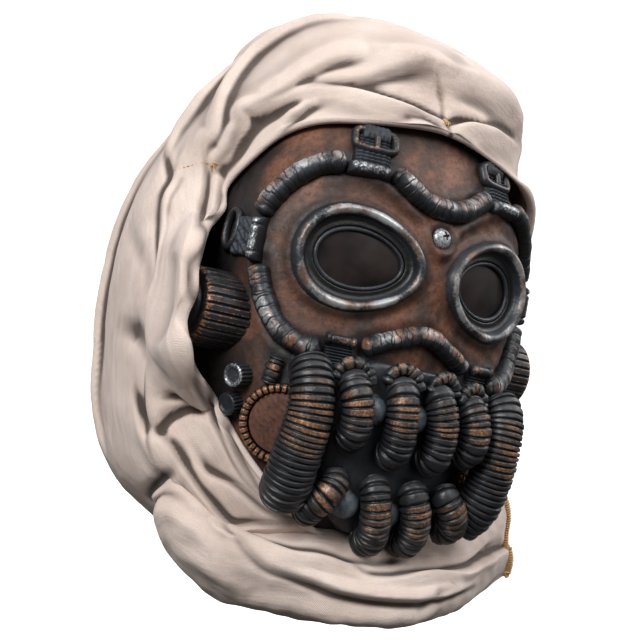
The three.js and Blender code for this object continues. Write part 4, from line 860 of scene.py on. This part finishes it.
# Stations round the face opening, from under the chin to the forehead: angle and drop of the edge,
# angle and level of two places on the way back, the rim's angle, the left edge and its flare.
HOOD_STATIONS = np.array([
    [0, .872, 0, .93, 0, .965, 0, 0, 0], [18, .85, 22, .92, 23, .962, 22, 18, 0],
    [33, .8, 42, .89, 45, .95, 42, 33, 0], [46, .735, 58, .84, 62, .93, 57, 47, 0],
    [57.5, .665, 72, .77, 79, .9, 70, 59, 0], [59, .61, 82, .69, 92, .85, 80, 68, 0],
    [59.5, .55, 90, .61, 103, .79, 89, 78, 0], [58, .5, 93, .54, 110, .73, 96, 81, 0],
    [60, .45, 95, .48, 117, .67, 103, 79, 0], [65, .39, 96, .42, 124, .61, 110, 74, .1],
    [69.5, .34, 96, .36, 130, .555, 117, 68, .4], [72, .3, 95, .295, 136, .5, 124, 62, .8],
    [65, .255, 93, .235, 141, .445, 132, 59, 1], [55, .205, 91, .175, 147, .39, 141, 53, .8],
    [44, .174, 90, .12, 153, .34, 150, 44, .3], [30, .156, 90, .07, 161, .3, 160, 29, 0],
    [14, .142, 90, .03, 170, .265, 170, 14, 0], [0, .136, 90, 0, 180, .25, 180, 0, 0],
])


def edge_distance(angle, drop):
    """Distance over the head from a place to the edge of the face opening, a chain of short lines."""
    wrapped = (angle + 180) % 360 - 180
    spot = np.stack([np.abs(wrapped) * np.pi / 180 * HEAD_HALF_WIDTH, drop * HEAD_HEIGHT], -1)
    best = []
    for column in (0, 7):
        ends = HOOD_STATIONS[:, [column, 1]] * [np.pi / 180 * HEAD_HALF_WIDTH, HEAD_HEIGHT]
        a, way = ends[:-1], np.diff(ends, axis=0)
        t = np.clip(((spot[..., None, :] - a) * way).sum(-1) / (way**2).sum(-1), 0, 1)
        best.append(np.linalg.norm(spot[..., None, :] - a - way * t[..., None], axis=-1).min(-1))
    return np.where(wrapped > 0, best[1], best[0])


def hood_base(angle, level):
    """The hood without folds: superellipse sections, drawn in to the latex near the face opening."""
    place = place_of(HOOD_SECTIONS, level)
    drop, right, left, front, back = (along(HOOD_SECTIONS, k, place) for k in range(5))
    a = np.radians(angle)
    s, c = np.sin(a), np.cos(a)
    half = np.maximum(np.where(s < 0, right * HOOD_RIGHT, left * HOOD_LEFT), 1e-3)
    depth = np.maximum(np.where(c >= 0, front * HOOD_FRONT, back * HOOD_BACK), 1e-3)
    free = (np.abs(s / half) ** HOOD_POWER + np.abs(c / depth) ** HOOD_POWER) ** (-1 / HOOD_POWER)
    z = HOOD_TOP - drop * HOOD_HEIGHT
    head_drop = (HEAD_WALL - z) / HEAD_HEIGHT
    skin = head_point(a, place_of(HEAD_SECTIONS, np.clip(head_drop, 0.01, 1)))
    on_skin = np.hypot(skin[..., 0], skin[..., 1]) + 2
    over_drum = DRUM_COVER / np.maximum(np.abs(s), 0.3)
    drum_away = np.hypot(-over_drum * c + DRUM_FORWARD, (DRUM_DROP - head_drop) * HEAD_HEIGHT) - DRUM_RADIUS
    over = np.where(s < 0, 1 - ease(0, 1, (drum_away - 4) / 31.5), 0)
    near = on_skin + np.maximum(over_drum - on_skin, 0) * over + CLOTH_WALL
    share = ease(0, 45, edge_distance(angle, head_drop))
    reach = np.where(z < 0, near + np.maximum(free - near, 0) * share, free)
    return np.stack([reach * s, -reach * c, z], -1)


def onto_hood(points):
    """The hood met by a ray from the middle of the head through each point, found by halving."""
    middle = np.array([0, 0, -0.36 * HEAD_HEIGHT])
    way = points - middle
    angle = np.degrees(np.arctan2(way[..., 0], -way[..., 1]))
    slope = np.arctan2(way[..., 2], np.hypot(way[..., 0], way[..., 1]))
    low, high = np.zeros(slope.shape), np.ones(slope.shape)
    for _ in range(18):
        level = (low + high) / 2
        spot = hood_base(angle, level) - middle
        steep = np.arctan2(spot[..., 2], np.hypot(spot[..., 0], spot[..., 1])) > slope
        low, high = np.where(steep, level, low), np.where(steep, high, level)
    return hood_base(angle, (low + high) / 2)


def round_rows(rows, place):
    """Curve round a closed list of rows, each of any shape, at places from 0 to 1."""
    u = (place % 1) * len(rows)
    i = np.floor(u).astype(int)
    f = (u - i).reshape(-1, *([1] * (rows.ndim - 1)))
    return catmull(*(rows[(i + k) % len(rows)] for k in (-1, 0, 1, 2)), f)


right_rows = HOOD_STATIONS * [-1, 1, -1, 1, -1, 1, -1, 0, 0]
left_rows = HOOD_STATIONS[1:-1][::-1].copy()
left_rows[:, 0] = left_rows[:, 7]
stations = np.concatenate([right_rows, left_rows])
controls = np.stack([
    hood_base(stations[:, 0], (HOOD_TOP - HEAD_WALL + stations[:, 1] * HEAD_HEIGHT) / HOOD_HEIGHT),
    hood_base(stations[:, 2], stations[:, 3]), hood_base(stations[:, 4], stations[:, 5]),
    hood_base(stations[:, 6], np.ones(len(stations)))], 1)
AROUND, OUTWARD = 840, 176
around = np.interp(np.linspace(0, 1, AROUND, endpoint=False), [0, 0.62, 0.9, 1], [0, 0.5, 0.8, 1])
dense = round_rows(controls, around)
flare = round_rows(stations[:, 8], around)
lines = np.stack([evenly(through(line, 200), 600)[0] for line in dense])
lengths = np.linalg.norm(np.diff(lines, axis=1), axis=-1).sum(1)[:, None]
under_chin = 1 - ease(0.1, 0.2, np.minimum(around, 1 - around))[:, None]
reach_of_front = (190.0**-6 + ((0.62 + 0.35 * under_chin) * lengths) ** -6) ** (-1 / 6)
front_share = np.linspace(0, 1, OUTWARD)[None] ** 1.1 * reach_of_front / lengths
back_share = front_share[:, -1:] + np.linspace(0, 1, 91)[None, 1:] * (1 - front_share[:, -1:])
share = np.concatenate([front_share, back_share], 1)
index = share * 599
low = np.floor(np.minimum(index, 598)).astype(int)
fraction = (index - low)[..., None]
column = np.arange(AROUND)[:, None]
base = lines[column, low] * (1 - fraction) + lines[column, low + 1] * fraction
keep = (ease(0, 0.012, share) * (1 - ease(0.985, 1, share)))[..., None]
base = base + (onto_hood(base) - base) * keep
out_from_edge = share * lengths
widen = flare[:, None] * 18 * (1 - ease(0, 45, out_from_edge))
base[..., :2] *= (1 + widen / np.linalg.norm(base, axis=-1))[..., None]


def facing_out(grid, inner):
    """Unit normals of a grid, turned away from an inner point."""
    front = unit(np.cross(np.gradient(grid, axis=0), np.gradient(grid, axis=1)))
    return front * np.sign((front * (grid - inner)).sum(-1, keepdims=True).mean())


def seen(grid, out, rows):
    """Points of a surface where rows of picture places, in the camera's view, fall on it."""
    axes = np.array([list(axis) for axis in camera_axes])
    away = grid.reshape(-1, 3) - axes[3] / MM
    pixels = PICTURE_SIDE * camera_data.lens / camera_data.sensor_width / (-away @ axes[2])
    spots = PICTURE_SIDE / 2 + np.stack([pixels * (away @ axes[0]), -pixels * (away @ axes[1])], -1)
    hidden = (out.reshape(-1, 3) * unit(away)).sum(-1) > -0.2
    miss = ((spots[:, None] - np.asarray(rows, float)[None]) ** 2).sum(-1) + 1e6 * hidden[:, None]
    return grid.reshape(-1, 3)[miss.argmin(0)]


def fold(grid, out, points, rise, left, right):
    """A fold along points: its height falls off to each side, as a bell of its own width there. Where
    a side is narrow, a painted shadow and a shallow tuck lie at its foot, and the top leans over it."""
    curve = evenly(through(points, 300), 150)[0]
    flat = grid.reshape(-1, 3)
    reach = 2.2 * max(left, right) + 8
    spots = np.flatnonzero(((flat > curve.min(0) - reach) & (flat < curve.max(0) + reach)).all(1))
    near = squared_gaps(flat[spots], curve).argmin(1)
    away = flat[spots] - curve[near]
    way = unit(np.gradient(curve, axis=0))[near]
    leftwards = unit(np.cross(out.reshape(-1, 3)[spots], way))
    offset = (away * leftwards).sum(1)
    ahead = (away * way).sum(1)
    beyond = np.where(near == 0, np.maximum(-ahead, 0), np.where(near == 149, np.maximum(ahead, 0), 0))
    taper = np.interp(near / 149, np.linspace(0, 1, len(rise)), rise)
    taper = taper * bell(beyond, 3 + 0.45 * max(left, right))
    sharp = min(left, right) < 3
    lean = 1 if left < right else -1
    height, slide, shadow = np.zeros(len(flat)), np.zeros(flat.shape), np.zeros(len(flat))
    tuck = 0.34 * bell(lean * offset - 3.4, 2.0) * np.clip(taper, 0, 6) * sharp
    height[spots] = taper * bell(offset, np.where(offset > 0, left, right)) - tuck
    slide[spots] = (0.08 * lean * np.clip(taper, 0, None) * bell(offset, 3))[:, None] * leftwards
    shadow[spots] = bell(lean * offset - 2.8, 1.3) * np.clip(taper / 5, 0, 1) * sharp
    size = grid.shape[:2]
    return height.reshape(size), slide.reshape(grid.shape), shadow.reshape(size)


def mean_near(field, reach):
    """A field averaged twice over its neighbours within a reach of grid steps, each way."""
    mean = field
    for axis in (0, 1):
        for _ in range(2):
            spread = [(reach + 1, reach) if k == axis else (0, 0) for k in range(field.ndim)]
            total = np.cumsum(np.pad(mean, spread, "edge"), axis)
            high = np.take(total, np.arange(2 * reach + 1, total.shape[axis]), axis)
            low = np.take(total, np.arange(0, total.shape[axis] - 2 * reach - 1), axis)
            mean = (high - low) / (2 * reach + 1)
    return mean


def folded(grid, out, seen_folds, other_folds=()):
    """A surface with all its folds: raised ones meet in creases, as the log of summed powers. It gives
    the height, the slide along the surface, and the painted shade of the hollows: fold shadows and cavities."""
    routes = [(seen(grid, out, rows), *form) for rows, *form in seen_folds] + list(other_folds)
    heights, slides, darks = zip(*(fold(grid, out, *route) for route in routes))
    heights = np.stack(heights)
    raised = np.log(np.exp(np.clip(heights, 0, None) * 0.8).sum(0) - len(routes) + 1) / 0.8
    raised = raised + np.clip(heights, None, 0).sum(0)
    raised, slides = mean_near(raised, 1), mean_near(sum(slides), 2)
    caves = mean_near(raised, 3) - raised + (mean_near(raised, 10) - raised) * 0.24
    return raised, slides, np.clip(np.maximum(mean_near(np.maximum.reduce(darks), 1), caves), 0, 1)


hood_out = facing_out(base, HOOD_MIDDLE)
# Each fold: its route in the picture, its heights along the route, and how wide it falls off to the
# left and right of the way it runs. A fold of a height below 0 is a furrow.
HOOD_FOLDS = [
    ([[170, 148], [181, 131], [196, 113], [207, 90], [224, 71], [237, 58]], [3, 6, 7, 5, 3], 9, 4),
    ([[204, 158], [207, 144], [217, 131], [223, 108], [239, 76], [256, 56], [292, 31], [336, 19]],
     [2, 5, 6, 7, 7, 6, 5, 3], 9, 3.8),
    ([[213, 162], [226, 148], [235, 131], [243, 116]], [2, 4, 4, 1], 3, 2.5),
    ([[218, 163], [228, 156], [237, 140], [246, 124], [246, 115], [262, 111], [287, 101], [312, 95],
     [338, 93], [365, 96]], [4, 7, 8, 8, 8, 7, 6, 5, 4, 1], 8, 4),
    ([[252, 106], [287, 90], [309, 74], [340, 60], [372, 55]], [2, 5, 5, 4, 1], 11, 2.5),
    ([[320, 80], [351, 80], [381, 72], [418, 62], [436, 62]], [3, 4, 4, 4, 2], 9, 2.5),
    ([[222, 170], [236, 151], [250, 130], [264, 118], [285, 109], [305, 103]],
     [-3, -5, -5, -5, -4, -2], 5, 5),
    ([[286, 127], [297, 116], [308, 105], [322, 100]], [2, 5, 5, 1], 9, 2.5),
    ([[320, 93], [351, 93], [372, 99], [406, 108], [427, 115], [444, 122]], [2, 6, 7, 6, 5, 3], 2.5, 8),
    ([[352, 86], [380, 93], [410, 102], [436, 114]], [-1, -4, -4, -3], 4, 3),
    ([[395, 124], [406, 120], [420, 122], [436, 129], [444, 133]], [1, 4, 5, 4, 2], 2.5, 5),
    ([[404, 117], [420, 118], [438, 126]], [-2, -4, -2], 2.5, 2),
    ([[447, 128], [461, 125], [470, 127], [488, 131], [508, 141], [524, 151]], [4, 8, 8, 6, 5, 2], 2.5, 8),
    ([[450, 122], [460, 120], [474, 122]], [-4, -6, -3], 3, 2),
    ([[450, 102], [468, 114], [499, 129]], [1, 3, 1], 5, 4),
    ([[440, 79], [473, 85], [493, 95]], [1, 3, 1], 6, 4),
    ([[479, 66], [496, 83], [514, 110], [518, 139]], [3, 7, 7, 4], 2.5, 15),
    ([[433, 58], [439, 80], [442, 98], [444, 118], [445, 141]], [-0.8, -1, -1, -3, -4], 1.6, 1.6),
    ([[176, 178], [168, 193], [163, 230], [155, 273], [148, 300], [147, 320], [150, 346], [149, 379],
     [148, 412], [152, 436]], [2, 4, 5, 5, 5, 5, 5, 6, 6, 3], 22, 2.5),
    ([[180, 184], [171, 202], [165, 232], [158, 272], [153, 300]], [-1, -2, -2, -1.5, -0.5], 2.5, 2.5),
    ([[203, 166], [201, 200], [198, 213], [198, 246], [195, 280], [194, 313], [193, 346], [192, 376],
     [203, 400], [211, 420], [219, 437]], [3, 5, 7, 8, 8, 8, 8, 8, 7, 6, 3], 2.5, 15),
    ([[217, 168], [216, 213], [213, 246], [208, 270], [206, 296], [201, 329], [200, 346], [204, 365],
     [211, 412], [224, 450], [240, 478], [262, 503]], [2, 4, 5, 6, 6, 6, 6, 5, 4, 4, 3, 2], 2.5, 6),
    ([[212, 385], [223, 420], [228, 438], [239, 463], [256, 493], [266, 505]], [1, 3, 4, 4, 3, 1], 2.5, 4),
    ([[158, 399], [180, 396], [196, 404]], [-1, -4, -2], 3.5, 5),
    ([[161, 431], [168, 421], [178, 414], [192, 411], [208, 416]], [-4, -6, -6, -5, -2], 3.5, 2.5),
    ([[112, 322], [126, 330], [140, 348]], [-1, -5, -2], 9, 9),
    ([[128, 392], [137, 412], [143, 427]], [-2, -7, -5], 5, 4),
    ([[120, 222], [140, 262], [145, 286]], [-1, -2.5, -1], 8, 8),
    ([[140, 425], [156, 435], [165, 446], [173, 456], [190, 482]], [3, 5, 5, 4, 1], 2.5, 15),
    ([[166, 448], [183, 473], [206, 503], [231, 527], [256, 527], [296, 524]], [2, 5, 6, 6, 5, 2], 2.4, 3),
    ([[142, 508], [153, 488], [166, 474], [178, 466]], [-2, -5, -5, -1], 5, 4),
    ([[192, 458], [206, 475], [234, 489], [253, 503], [266, 513], [296, 523]], [1, 4, 5, 5, 4, 1], 2.5, 9),
    ([[163, 152], [168, 178], [161, 192]], [-2, -4, -1], 3, 3),
]
# Folds that the picture doesn't show, with routes of angle and z.
BACK_FOLDS = [
    ([[-112, -60], [-122, -120], [-122, -175], [-112, -235]], [2, 7, 8, 4], 3, 20),
    ([[-150, -30], [-146, -100], [-142, -170], [-134, -240]], [2, 7, 8, 5], 3, 18),
    ([[178, -50], [172, -110], [176, -170], [180, -240]], [2, 7, 8, 5], 16, 3),
    ([[146, -30], [140, -90], [138, -150], [130, -230]], [3, 7, 8, 5], 16, 3),
    ([[112, -40], [114, -90], [112, -150], [104, -220]], [3, 7, 8, 5], 12, 3),
    ([[84, -70], [88, -110], [90, -160], [88, -215]], [3, 6, 7, 5], 9, 2),
    ([[74, -80], [78, -120], [82, -160], [76, -205]], [2, 5, 6, 4], 5, 2.5),
    ([[-100, 12], [-130, 0], [-150, -18], [-160, -40]], [2, 5, 5, 3], 9, 3),
    ([[60, 14], [100, 6], [140, -6], [160, -30]], [2, 5, 5, 3], 3, 9),
]


def behind(rows):
    """Points of the hood at rows of angle and z."""
    angle, z = np.array(rows, float).T
    return hood_base(angle, (HOOD_TOP - z) / HOOD_HEIGHT)


back_routes = [(behind(rows), *form) for rows, *form in BACK_FOLDS]
rise, slides, darks = folded(base, hood_out, HOOD_FOLDS, back_routes)
forehead = np.exp(-(((around - 0.5) / 0.14) ** 4))[:, None]
edge_radius = 2.3 + 0.9 * forehead
near_edge = np.clip(out_from_edge / edge_radius, 0, 2)
edge_roll = edge_radius * np.where(near_edge < 1, np.sqrt(1 - (near_edge - 1) ** 2),
                                   0.35 + 0.65 * np.cos((near_edge - 1) * np.pi / 2) ** 2)
edge_roll = edge_roll * (1 - ease(2, 7, out_from_edge / edge_radius))
chance = np.random.default_rng(7)


def rippled(grid, waves, low, high):
    """Small soft waves over a surface: a sum of sines of its place, in several directions."""
    ripple = np.zeros(grid.shape[:2])
    for _ in range(waves):
        way = unit(chance.normal(size=3))
        wave = chance.uniform(low, high)
        ripple += np.sin(grid @ way * 2 * np.pi / wave + chance.uniform(0, 6.3)) * wave / high
    return ripple


ripple = (0.2 * rippled(base, 9, 22, 60) + 0.06 * rippled(base, 8, 7, 14)) * ease(4, 22, out_from_edge)
slack = ease(18, 60, out_from_edge) * (0.5 + 5 * ease(-60, -190, base[..., 2]))
lifted = rise * ease(-2, 6, out_from_edge) + edge_roll + ripple + 0.3 - slack
hood_points = base + hood_out * lifted[..., None] + slides
# The edge sags over the left half of the forehead and the temple.
sag = 3 * bell(around - 0.47, 0.05) + 8 * bell(around - 0.575, 0.045)
sag = (sag[:, None] * (1 - ease(4, 40, out_from_edge)))[..., None]
hood_points = hood_points - unit(np.gradient(base, axis=1)) * sag + hood_out * (0.15 * sag)


def walked(grid, axis):
    """The way walked along one axis of a grid up to each point."""
    steps = np.diff(grid, axis=axis, prepend=np.take(grid, [0], axis))
    return np.cumsum(np.linalg.norm(steps, axis=-1), axis)


def cut_uv(column, grid):
    """Places in the cut cloth, in metres: the way along one column, and the way out along each row."""
    return np.stack(np.broadcast_arrays(walked(column, 0), walked(grid, 1)), -1) * MM


hood_uv = cut_uv(base[:, 80:81], base)


def woven(name, colour, shaded, bright):
    """Plain weave: threads as sine waves along and across the cut, with slubs, small creases that are
    noise drawn out along the cut, and warm painted shade in the hollows."""
    made, dye, shader = new_finish(name, Roughness=0.92, Specular_IOR_Level=0.12, Sheen_Weight=0.2,
                                   Sheen_Roughness=0.6)
    cut = dye.node("ShaderNodeUVMap", {"uv_map": "cut"})
    along_cut = dye.node("ShaderNodeSeparateXYZ", {}, {0: cut})
    across_cut = dye.node("ShaderNodeSeparateXYZ", {}, {0: cut}, 1)
    slub = dye.noise(260, 2)
    warp = dye.maths("SINE", along_cut * (2 * np.pi / 0.0011) + slub * 3)
    weft = dye.maths("SINE", across_cut * (2 * np.pi / 0.0011) + slub * 3)
    weave = warp * weft
    wide = dye.noise(30, 4)
    drawn = dye.node("ShaderNodeMapping", {}, {"Vector": cut, "Scale": (24, 130, 1)})
    coarse = {"Vector": drawn, "Scale": 1.0, "Detail": 5, "Roughness": 0.6}
    crumple = dye.node("ShaderNodeTexNoise", {}, coarse)
    tone = wide.between(0.3, 0.7).blend(colour, bright)
    # Threads, slubs and the small creases mix in the shaded tone: thread tone, and painted shade in the
    # creases.
    tone = ((weave * 0.5 + 0.5) * 0.1 + dye.noise(1100, 2) * 0.36 + crumple * 0.1 - 0.1).blend(tone, shaded)
    # Painted shade: the hollows held by the mesh darken towards warm brown.
    tone = (dye.held("hollow") * 0.92).blend(tone, tint(58, 42, 35))
    relief = dye.bump(dye.noise(90, 4), 1.1, 0.6, dye.bump(crumple, 1.4, 0.7))
    relief = dye.bump(weave * 0.5 + slub + dye.noise(1100, 2), 0.22, 0.6, relief)
    feed(dye, shader, Base_Color=tone, Normal=relief)
    return made


cloth = woven("cotton", tint(229, 209, 197), tint(174, 150, 136), tint(244, 227, 216))


def sheet_of(name, grids, cut, replaces=(), loop_rows=False):
    """A sheet of the cloth: one cut of its points, their places in the cloth and the painted shade of their
    hollows.
    """
    points, uv, dark = (grid[cut] for grid in grids)
    return piece(name, [skin_of(points, loop_rows=loop_rows, uv=uv, hollow=dark)], cloth, replaces)


turned_under = hood_points[:, :1] - hood_out[:, :1] * 1.5 + (base[:, 6:7] - base[:, :1]) * 0.9
front = [np.concatenate([edge, grid[:, :OUTWARD]], 1) for edge, grid in (
    (turned_under, hood_points), (hood_uv[:, :1], hood_uv), (darks[:, :1], darks))]
half = int(np.searchsorted(around, 0.54))
hood_front = sheet_of("hood_front", front, np.arange(0, half + 1), ["hood"])
hood_left = sheet_of("hood_left", front, np.append(np.arange(half, AROUND), 0))
hood_back = sheet_of("hood_back", (hood_points, hood_uv, darks), np.s_[:, OUTWARD - 1::2], loop_rows=True)

# Stitches and knots. Tan thread sews the hood to the latex in short running stitches at two places,
# and two knots of loose loops hold its gathers. The thread dives into the cloth between stitches.
ROUTE_STEPS = 400


def stitched(route, gap, length, lift=0.25):
    """Short threads along a picture route, each a bar that dives into the cloth at both ends."""
    points = seen(hood_points, hood_out, route)
    path, run = evenly(through(points, 200), ROUTE_STEPS)
    step = np.maximum(int(length / run * ROUTE_STEPS), 2)
    bars = []
    for first in np.linspace(4, ROUTE_STEPS - 4 - length / run * ROUTE_STEPS, int(run / gap)).astype(int):
        places = np.linspace(first, first + step, 9).astype(int).clip(0, ROUTE_STEPS - 1)
        bar = path[places] + 0.001 * np.arange(9)[:, None]
        out = unit(bar - HOOD_MIDDLE)
        bar = bar + out * (lift + 0.5 * np.sin(np.linspace(0, np.pi, 9)) - 0.3)[:, None]
        bars.append(closed(round_bar(bar, out, 0.28 * np.ones(9), 6)[0]))
    return bars


def knot(spot, reach, threads, seed):
    """A knot: thread loops of a reach over one spot of the picture, each turned its own way."""
    middle = seen(hood_points, hood_out, [spot, spot])[0]
    out = unit(middle - HOOD_MIDDLE)
    across = unit(np.cross(out, [0, 0, 1.0]))
    up = np.cross(out, across)
    pick = np.random.default_rng(seed)
    t = np.linspace(0, np.pi, 16)[:, None]
    bars = []
    for _ in range(threads):
        turn, size = pick.uniform(0, np.pi), pick.uniform(0.5, 1) * reach
        way = np.cos(turn) * across + np.sin(turn) * up
        offset = pick.uniform(-1, 1) * across + pick.uniform(-1, 1) * up
        bar = middle + offset + np.cos(t) * size * way + (np.sin(t) * (1.6 + 0.4 * size) - 0.6) * out
        bars.append(closed(round_bar(bar, np.cross(way, out), 0.3 * np.ones(16), 6)[0]))
    return bars


thread, dye, shader = new_finish("sewing_thread", Roughness=0.75, Specular_IOR_Level=0.2)
strands = dye.noise(1400, 3, 0.6, (1, 1, 3))
feed(dye, shader, Base_Color=strands.between(0.35, 0.65).blend(tint(176, 126, 76), tint(240, 206, 156)),
     Normal=dye.bump(strands, 0.5, 0.8))
stitches = piece("hood_stitches", stitched([[175, 171], [189, 166], [203, 163], [213, 165]], 2.6, 1.5)
                 + stitched([[437, 72], [440, 88], [441, 100]], 3.0, 1.9) + knot([214, 166], 2.2, 5, 3)
                 + knot([445, 124], 3.0, 9, 4), thread)

# Neck wrap. A wide band of the same cotton, rolled on itself in soft folds under the chin. Its
# free end on the mask's own left is finished by a serged hem in tan thread.
NECK_MIDDLE = [0, 0, -290]
# Rows round the neck: angle, z of the start, radius and z of the bulge, radius and z of the low
# edge, and the start's own radius where it hangs free of the hood.
WRAP_SECTIONS = np.array([
    [-112, -270, 54, -276, 44, -292, 52], [-88, -266, 66, -275, 52, -298, 64],
    [-75, -258, 97, -265, 60, -299, 92], [-66, -247, 103, -263, 66, -303, 0],
    [-57, -252, 105, -268, 70, -306, 0], [-45, -265, 104, -277, 77, -308, 0],
    [-20, -260, 101, -284, 86, -307, 0], [5, -262, 103, -286, 95, -306, 0],
    [28, -262, 108, -285, 98, -303, 96], [46, -249, 116, -278, 106, -297, 108],
    [58, -235, 127, -268, 119, -286, 118], [66, -221, 136, -255, 140, -271, 127],
])
place = np.linspace(0, 1, 460)[:, None]
angle, start_z, bulge, bulge_z, low_r, low_z, own = (along(WRAP_SECTIONS, k, place) for k in range(7))
hood_there = np.linalg.norm(hood_base(angle, (HOOD_TOP - start_z) / HOOD_HEIGHT)[..., :2], axis=-1)
freed = np.maximum(ease(28, 46, angle), 1 - ease(-88, -74, angle))
start = (hood_there - 4) + (own - hood_there + 4) * freed
knots_r = np.concatenate([start, start * 0.35 + bulge * 0.65 + 1, bulge - 1, bulge + 1,
                          bulge * 0.6 + low_r * 0.4 + 2, low_r, low_r - 16], 1)
knots_z = np.concatenate([start_z, start_z * 0.6 + bulge_z * 0.4, bulge_z + 5, bulge_z - 4,
                          bulge_z * 0.35 + low_z * 0.65, low_z, low_z + 1], 1)
curve = np.stack([evenly(np.pad(through(np.stack([r, z], -1), 120), ((0, 0), (0, 1))), 170)[0][:, :2]
                  for r, z in zip(knots_r, knots_z)])
s, c = np.sin(np.radians(angle)), np.cos(np.radians(angle))
wrap_base = np.stack([curve[..., 0] * s, -curve[..., 0] * c, curve[..., 1]], -1)
wrap_out = facing_out(wrap_base, NECK_MIDDLE)
WRAP_FOLDS = [
    ([[239, 531], [256, 543], [289, 556], [323, 560], [346, 567], [360, 568]], [1, 5, 7, 7, 6, 3], 2.1, 9),
    ([[236, 533], [256, 552], [269, 563], [297, 574], [315, 580], [340, 589], [392, 597], [438, 595],
     [470, 583]], [2, 3, 5, 7, 7, 7, 7, 6, 2], 9, 2.1),
    ([[350, 570], [364, 579], [389, 581], [422, 576], [459, 573], [484, 561], [503, 551]],
     [2, 6, 7, 7, 6, 5, 3], 1.3, 7),
    ([[361, 565], [386, 562], [415, 557]], [-1, -4, -1], 3, 3),
    ([[479, 558], [488, 549], [499, 544]], [-1, -3, -1], 3, 3),
    ([[419, 607], [432, 597], [446, 592]], [-1, -4, -2], 3, 3),
    ([[175, 539], [186, 552], [205, 566], [240, 585]], [1, 3, 3, 1], 7, 8),
    ([[260, 600], [320, 612], [380, 617], [430, 612]], [2, 4, 4, 2], 7, 6),
    ([[320, 538], [370, 552], [420, 556], [470, 541]], [1, 3, 3, 1], 9, 8),
]
wrap_rise, wrap_slides, wrap_darks = folded(wrap_base, wrap_out, WRAP_FOLDS)
wrap_rise = wrap_rise + 0.35 * rippled(wrap_base, 9, 18, 50) + 0.1 * rippled(wrap_base, 8, 7, 14)
wrap_points = wrap_base + wrap_out * wrap_rise[..., None] + wrap_slides
wrap_uv = cut_uv(wrap_base[:, 60:61], wrap_points)
# Painted shade: the lower part of the wrap, its underside, is darkened.
wrap_darks = np.clip(wrap_darks + 0.65 * ease(0.62, 0.95, np.linspace(0, 1, 170)), 0, 1)
wrap = sheet_of("wrap_cloth", (wrap_points, wrap_uv, wrap_darks), np.s_[:], ["neck_wrap"])
hem_path, _ = evenly(np.concatenate([wrap_points[-3, 2:140], wrap_out[-3, 2:140]], 1), 300)
wide = full_turn(18)[None]
size = 1 + 0.22 * np.sin(np.arange(300) * 0.9)[:, None]
hem_grid = sweep(hem_path[:, :3], unit(hem_path[:, 3:]), 2.9 * size * np.sin(wide), 2.0 * size * np.cos(wide))
hem = piece("wrap_hem", [closed(hem_grid)], thread)

# Stage. A wide pale floor that curves up into a pale backdrop, soft light from all round, and one
# large soft lamp high on the camera's left.
run = np.linspace(0, 1, 60)[:, None]
turn = full_turn(96)[None]
bowl_radius = 2600 * np.clip(run * 1.6, 0.001, 1)
bowl_z = -900 + 2600 * ease(0.35, 1, run) * run
grid = from_frame((np.zeros(3), *np.eye(3)), bowl_radius * np.cos(turn), bowl_radius * np.sin(turn), bowl_z)
paper, dye, shader = new_finish("paper", Roughness=0.9, Specular_IOR_Level=0.1, Emission_Strength=1.0)
feed(dye, shader, Base_Color=dye.noise(3, 2).blend(tint(250, 249, 248), tint(253, 253, 252)),
     Emission_Color=dye.noise(3, 2).blend((0.95, 0.95, 0.95, 1), (1, 1, 1, 1)))
points, quads, fans, _, _ = skin_of(grid, loop_columns=True, caps="first")
stage_mesh = bpy.data.meshes.new("floor")
stage_mesh.from_pydata((points * MM).tolist(), [], quads.tolist() + fans.tolist())
stage_mesh.polygons.foreach_set("use_smooth", np.ones(len(stage_mesh.polygons), bool))
stage_mesh.materials.append(paper)
floor = bpy.data.objects.new("floor", stage_mesh)
bpy.context.scene.collection.objects.link(floor)
floor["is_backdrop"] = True


def soft_lamp(name, power, size, place, target):
    """A square area lamp of a size, at a place, turned to a target."""
    data = bpy.data.lights.new(name, "AREA")
    data.energy, data.size = power, size
    lamp = bpy.data.objects.new(name, data)
    lamp.location = Vector(place)
    lamp.rotation_euler = (Vector(target) - Vector(place)).to_track_quat("-Z", "Y").to_euler()
    bpy.context.scene.collection.objects.link(lamp)


soft_lamp("key", 20, 0.6, (-1.3, -0.85, 0.5), (0, 0, -0.16))
soft_lamp("top", 9, 1.0, (0.25, -1.15, 1.0), (0, 0, -0.1))
soft_lamp("rim", 5, 0.6, (1.1, -0.2, 0.7), (0, 0, -0.1))
floor.visible_diffuse = False
floor.visible_glossy = False
world = bpy.data.worlds.new("studio")
world.use_nodes = True
sky = Dye(world.node_tree)
way = sky.node("ShaderNodeTexCoord")
height = sky.node("ShaderNodeSeparateXYZ", {}, {0: way}, 2)
glow = height.between(-0.35, 0.9).blend((0.07, 0.066, 0.062, 1), (0.66, 0.66, 0.68, 1))
background = world.node_tree.nodes["Background"]
world.node_tree.links.new(glow.socket, background.inputs["Color"])
background.inputs["Strength"].default_value = 1.0
bpy.context.scene.world = world
bpy.context.scene.view_settings.view_transform = "Standard"

low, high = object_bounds()
